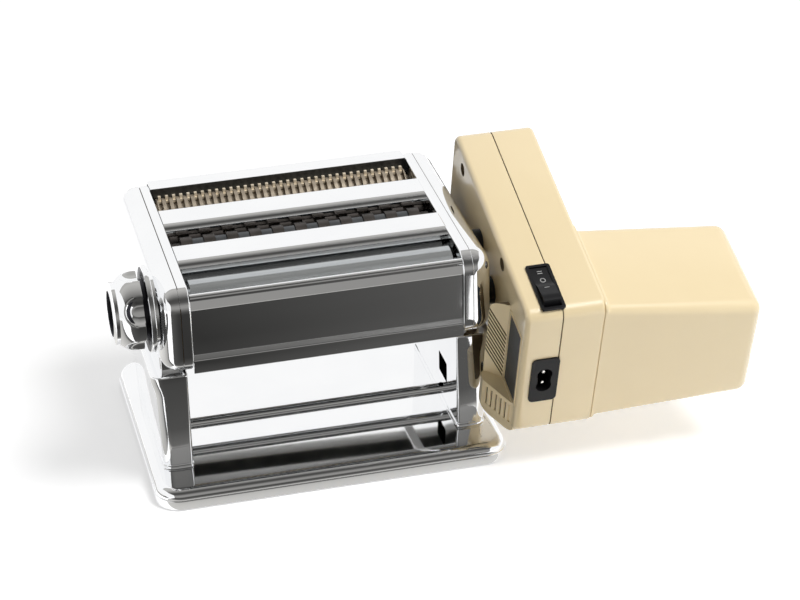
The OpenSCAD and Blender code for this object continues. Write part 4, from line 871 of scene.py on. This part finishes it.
def camera():
    back, right = CAMERA_BACK, CAMERA_RIGHT
    up = back.cross(right)
    turn, tip = math.cos(CAMERA_ROLL), math.sin(CAMERA_ROLL)
    right, up = turn * right + tip * up, -tip * right + turn * up
    data = bpy.data.cameras.new("camera")
    data.sensor_width = CAMERA_SENSOR
    data.lens = CAMERA_LENS
    cam = bpy.data.objects.new("camera", data)
    scene.collection.objects.link(cam)
    cam.matrix_world = Matrix.Translation(CAMERA_AT) @ Matrix(
        [(right[i], up[i], back[i], 0) for i in range(3)] + [(0, 0, 0, 1)])
    scene.camera = cam


def math_node(tree, operation, first, second):
    """Math node fed by an output and by a second output or a number; held within 0 and 1."""
    made = tree.nodes.new("ShaderNodeMath")
    made.operation = operation
    made.use_clamp = True
    tree.links.new(first, made.inputs[0])
    if isinstance(second, float):
        made.inputs[1].default_value = second
    else:
        tree.links.new(second, made.inputs[1])
    return made.outputs[0]


def seen_rays(tree):
    """1 for camera, glossy and transmission rays that have left no matt surface, 0 for the rest."""
    path = tree.nodes.new("ShaderNodeLightPath")
    total = path.outputs["Is Camera Ray"]
    for name in ("Is Glossy Ray", "Is Transmission Ray"):
        total = math_node(tree, "ADD", total, path.outputs[name])
    fresh = math_node(tree, "LESS_THAN", path.outputs["Diffuse Depth"], 0.5)
    return math_node(tree, "MULTIPLY", total, fresh)


def floor():
    """White paper floor, which glows for the rays that see it and keeps the shadow."""
    s = FLOOR_HALF
    obj = make("floor", ([(-s, -s, 0), (s, -s, 0), (s, s, 0), (-s, s, 0)], [(0, 1, 2, 3)]))
    mat = surface("floor_paper", (0.93, 0.93, 0.93), (0.91, 0.91, 0.91), 0, (0.7, 0.8), grain=6)
    tree = mat.node_tree
    shader = tree.nodes["Principled BSDF"]
    level = math_node(tree, "MULTIPLY", seen_rays(tree), FLOOR_GLOW)
    tree.links.new(level, shader.inputs["Emission Strength"])
    shader.inputs["Emission Color"].default_value = (1, 1, 1, 1)
    obj.data.materials.append(mat)


def card(name, rows):
    """Glowing card that only mirror surfaces see, a painted reflection: rows of (x, y, z, grey), a
    grid of equal rows.
    """
    width = len(rows[0])
    verts = [(x, y, z) for row in rows for x, y, z, _ in row]
    faces = [(j * width + i, j * width + i + 1, (j + 1) * width + i + 1, (j + 1) * width + i)
             for j in range(len(rows) - 1) for i in range(width - 1)]
    mesh = bpy.data.meshes.new(name)
    mesh.from_pydata([Vector(v) * MM for v in verts], [], faces)
    tone = mesh.color_attributes.new("tone", "FLOAT_COLOR", "POINT")
    for item, grey in zip(tone.data, (g for row in rows for _, _, _, g in row)):
        item.color = (grey, grey * 0.985, grey * 0.95, 1)
    obj = bpy.data.objects.new(name, mesh)
    scene.collection.objects.link(obj)
    mat = bpy.data.materials.new(name)
    mat.use_nodes = True
    tree = mat.node_tree
    tree.nodes.clear()
    out = tree.nodes.new("ShaderNodeOutputMaterial")
    glow = tree.nodes.new("ShaderNodeEmission")
    shade = tree.nodes.new("ShaderNodeAttribute")
    shade.attribute_name = "tone"
    tree.links.new(shade.outputs["Color"], glow.inputs["Color"])
    tree.links.new(glow.outputs["Emission"], out.inputs["Surface"])
    mesh.materials.append(mat)
    obj.visible_camera = False
    obj.visible_diffuse = False
    obj.visible_transmission = False
    obj.visible_shadow = False


# Front card along the floor: y, grey, and x of its right edge
FRONT_FLOOR = ((-80.5, 0.62, 106), (-92, 0.5, 112), (-97, 0.14, 112), (-115, 0.08, 113),
               (-225, 0.085, 121), (-267, 0.088, 133), (-301, 0.09, 144), (-600, 0.1, 250))
# Front card in the air: elevation in degrees, and grey
FRONT_AIR = ((5, 0.2), (15, 0.3), (25, 0.28), (32, 0.18), (40, 0.09), (48, 0.07), (56, 0.07),
             (64, 0.12), (75, 0.24), (90, 0.4), (105, 0.5), (118, 0.42))
# Left card: distance from the machine's front line, and grey
LEFT_FLOOR = ((0, 0.1), (14, 0.12), (30, 0.42), (90, 0.62), (220, 0.85))
# Back card: y, and grey
BACK_FLOOR = ((110, 0.9), (150, 0.2), (300, 0.1), (500, 0.2), (700, 0.9))


def cards():
    """Painted reflections: glowing cards for the dark side of the room in front, a grey ceiling,
    and low cards on the other sides.
    """
    rows = []
    for y, grey, right in FRONT_FLOOR:
        left = -120 - (-y - 93) * 0.716
        middle = 0.4 if -600 < y < -200 else 1
        rows.append([(lerp(left, right, t), y, CARD_Z, grey * more)
                     for t, more in ((0, 1), (0.5, middle), (1, 1.1))])
    for el, grey in FRONT_AIR:
        y, z = -1000 * math.cos(math.radians(el)), 1000 * math.sin(math.radians(el))
        wide = lerp(1, 1.6, smooth((el - 30) / 40))
        rows.append([(x, y, z, grey) for x in (-720 * wide, -70, 590 * wide)])
    card("front_card", rows)
    card("left_card", [[(x, -98 + (x + 125) * 0.232 + far, CARD_Z, grey)
                        for x in (-125, -350, -700)] for far, grey in LEFT_FLOOR])
    card("back_card", [[(x, y, CARD_Z, grey) for x in (-90, 300)] for y, grey in BACK_FLOOR])


def world():
    """White to the eye and to mirrors; its soft light comes more from the right than the left."""
    from_left, from_right = 0.22, 0.41
    w = bpy.data.worlds.new("world")
    scene.world = w
    w.use_nodes = True
    tree = w.node_tree
    shade = tree.nodes["Background"]
    shade.inputs["Color"].default_value = (1, 1, 1, 1)
    coord = tree.nodes.new("ShaderNodeTexCoord")
    split = tree.nodes.new("ShaderNodeSeparateXYZ")
    tree.links.new(coord.outputs["Generated"], split.inputs["Vector"])
    side = tree.nodes.new("ShaderNodeMapRange")
    side.inputs["From Min"].default_value = -1
    side.inputs["To Min"].default_value = from_left
    side.inputs["To Max"].default_value = from_right
    tree.links.new(split.outputs["X"], side.inputs["Value"])
    level = tree.nodes.new("ShaderNodeMapRange")
    tree.links.new(side.outputs["Result"], level.inputs["To Min"])
    tree.links.new(seen_rays(tree), level.inputs["Value"])
    tree.links.new(level.outputs["Result"], shade.inputs["Strength"])


def key_lamp():
    """One large soft disc above, in front and on the right."""
    place, aim = Vector((0.72, -0.62, 1.6)), Vector((0.05, 0, 0.1))
    data = bpy.data.lights.new("key", "AREA")
    data.shape = "DISK"
    data.size = 0.9
    data.energy = 22
    obj = bpy.data.objects.new("key", data)
    scene.collection.objects.link(obj)
    obj.location = place
    obj.rotation_euler = (place - aim).to_track_quat("Z", "Y").to_euler()


camera()
floor()
cards()
world()
key_lamp()
scene.view_settings.view_transform = "Standard"
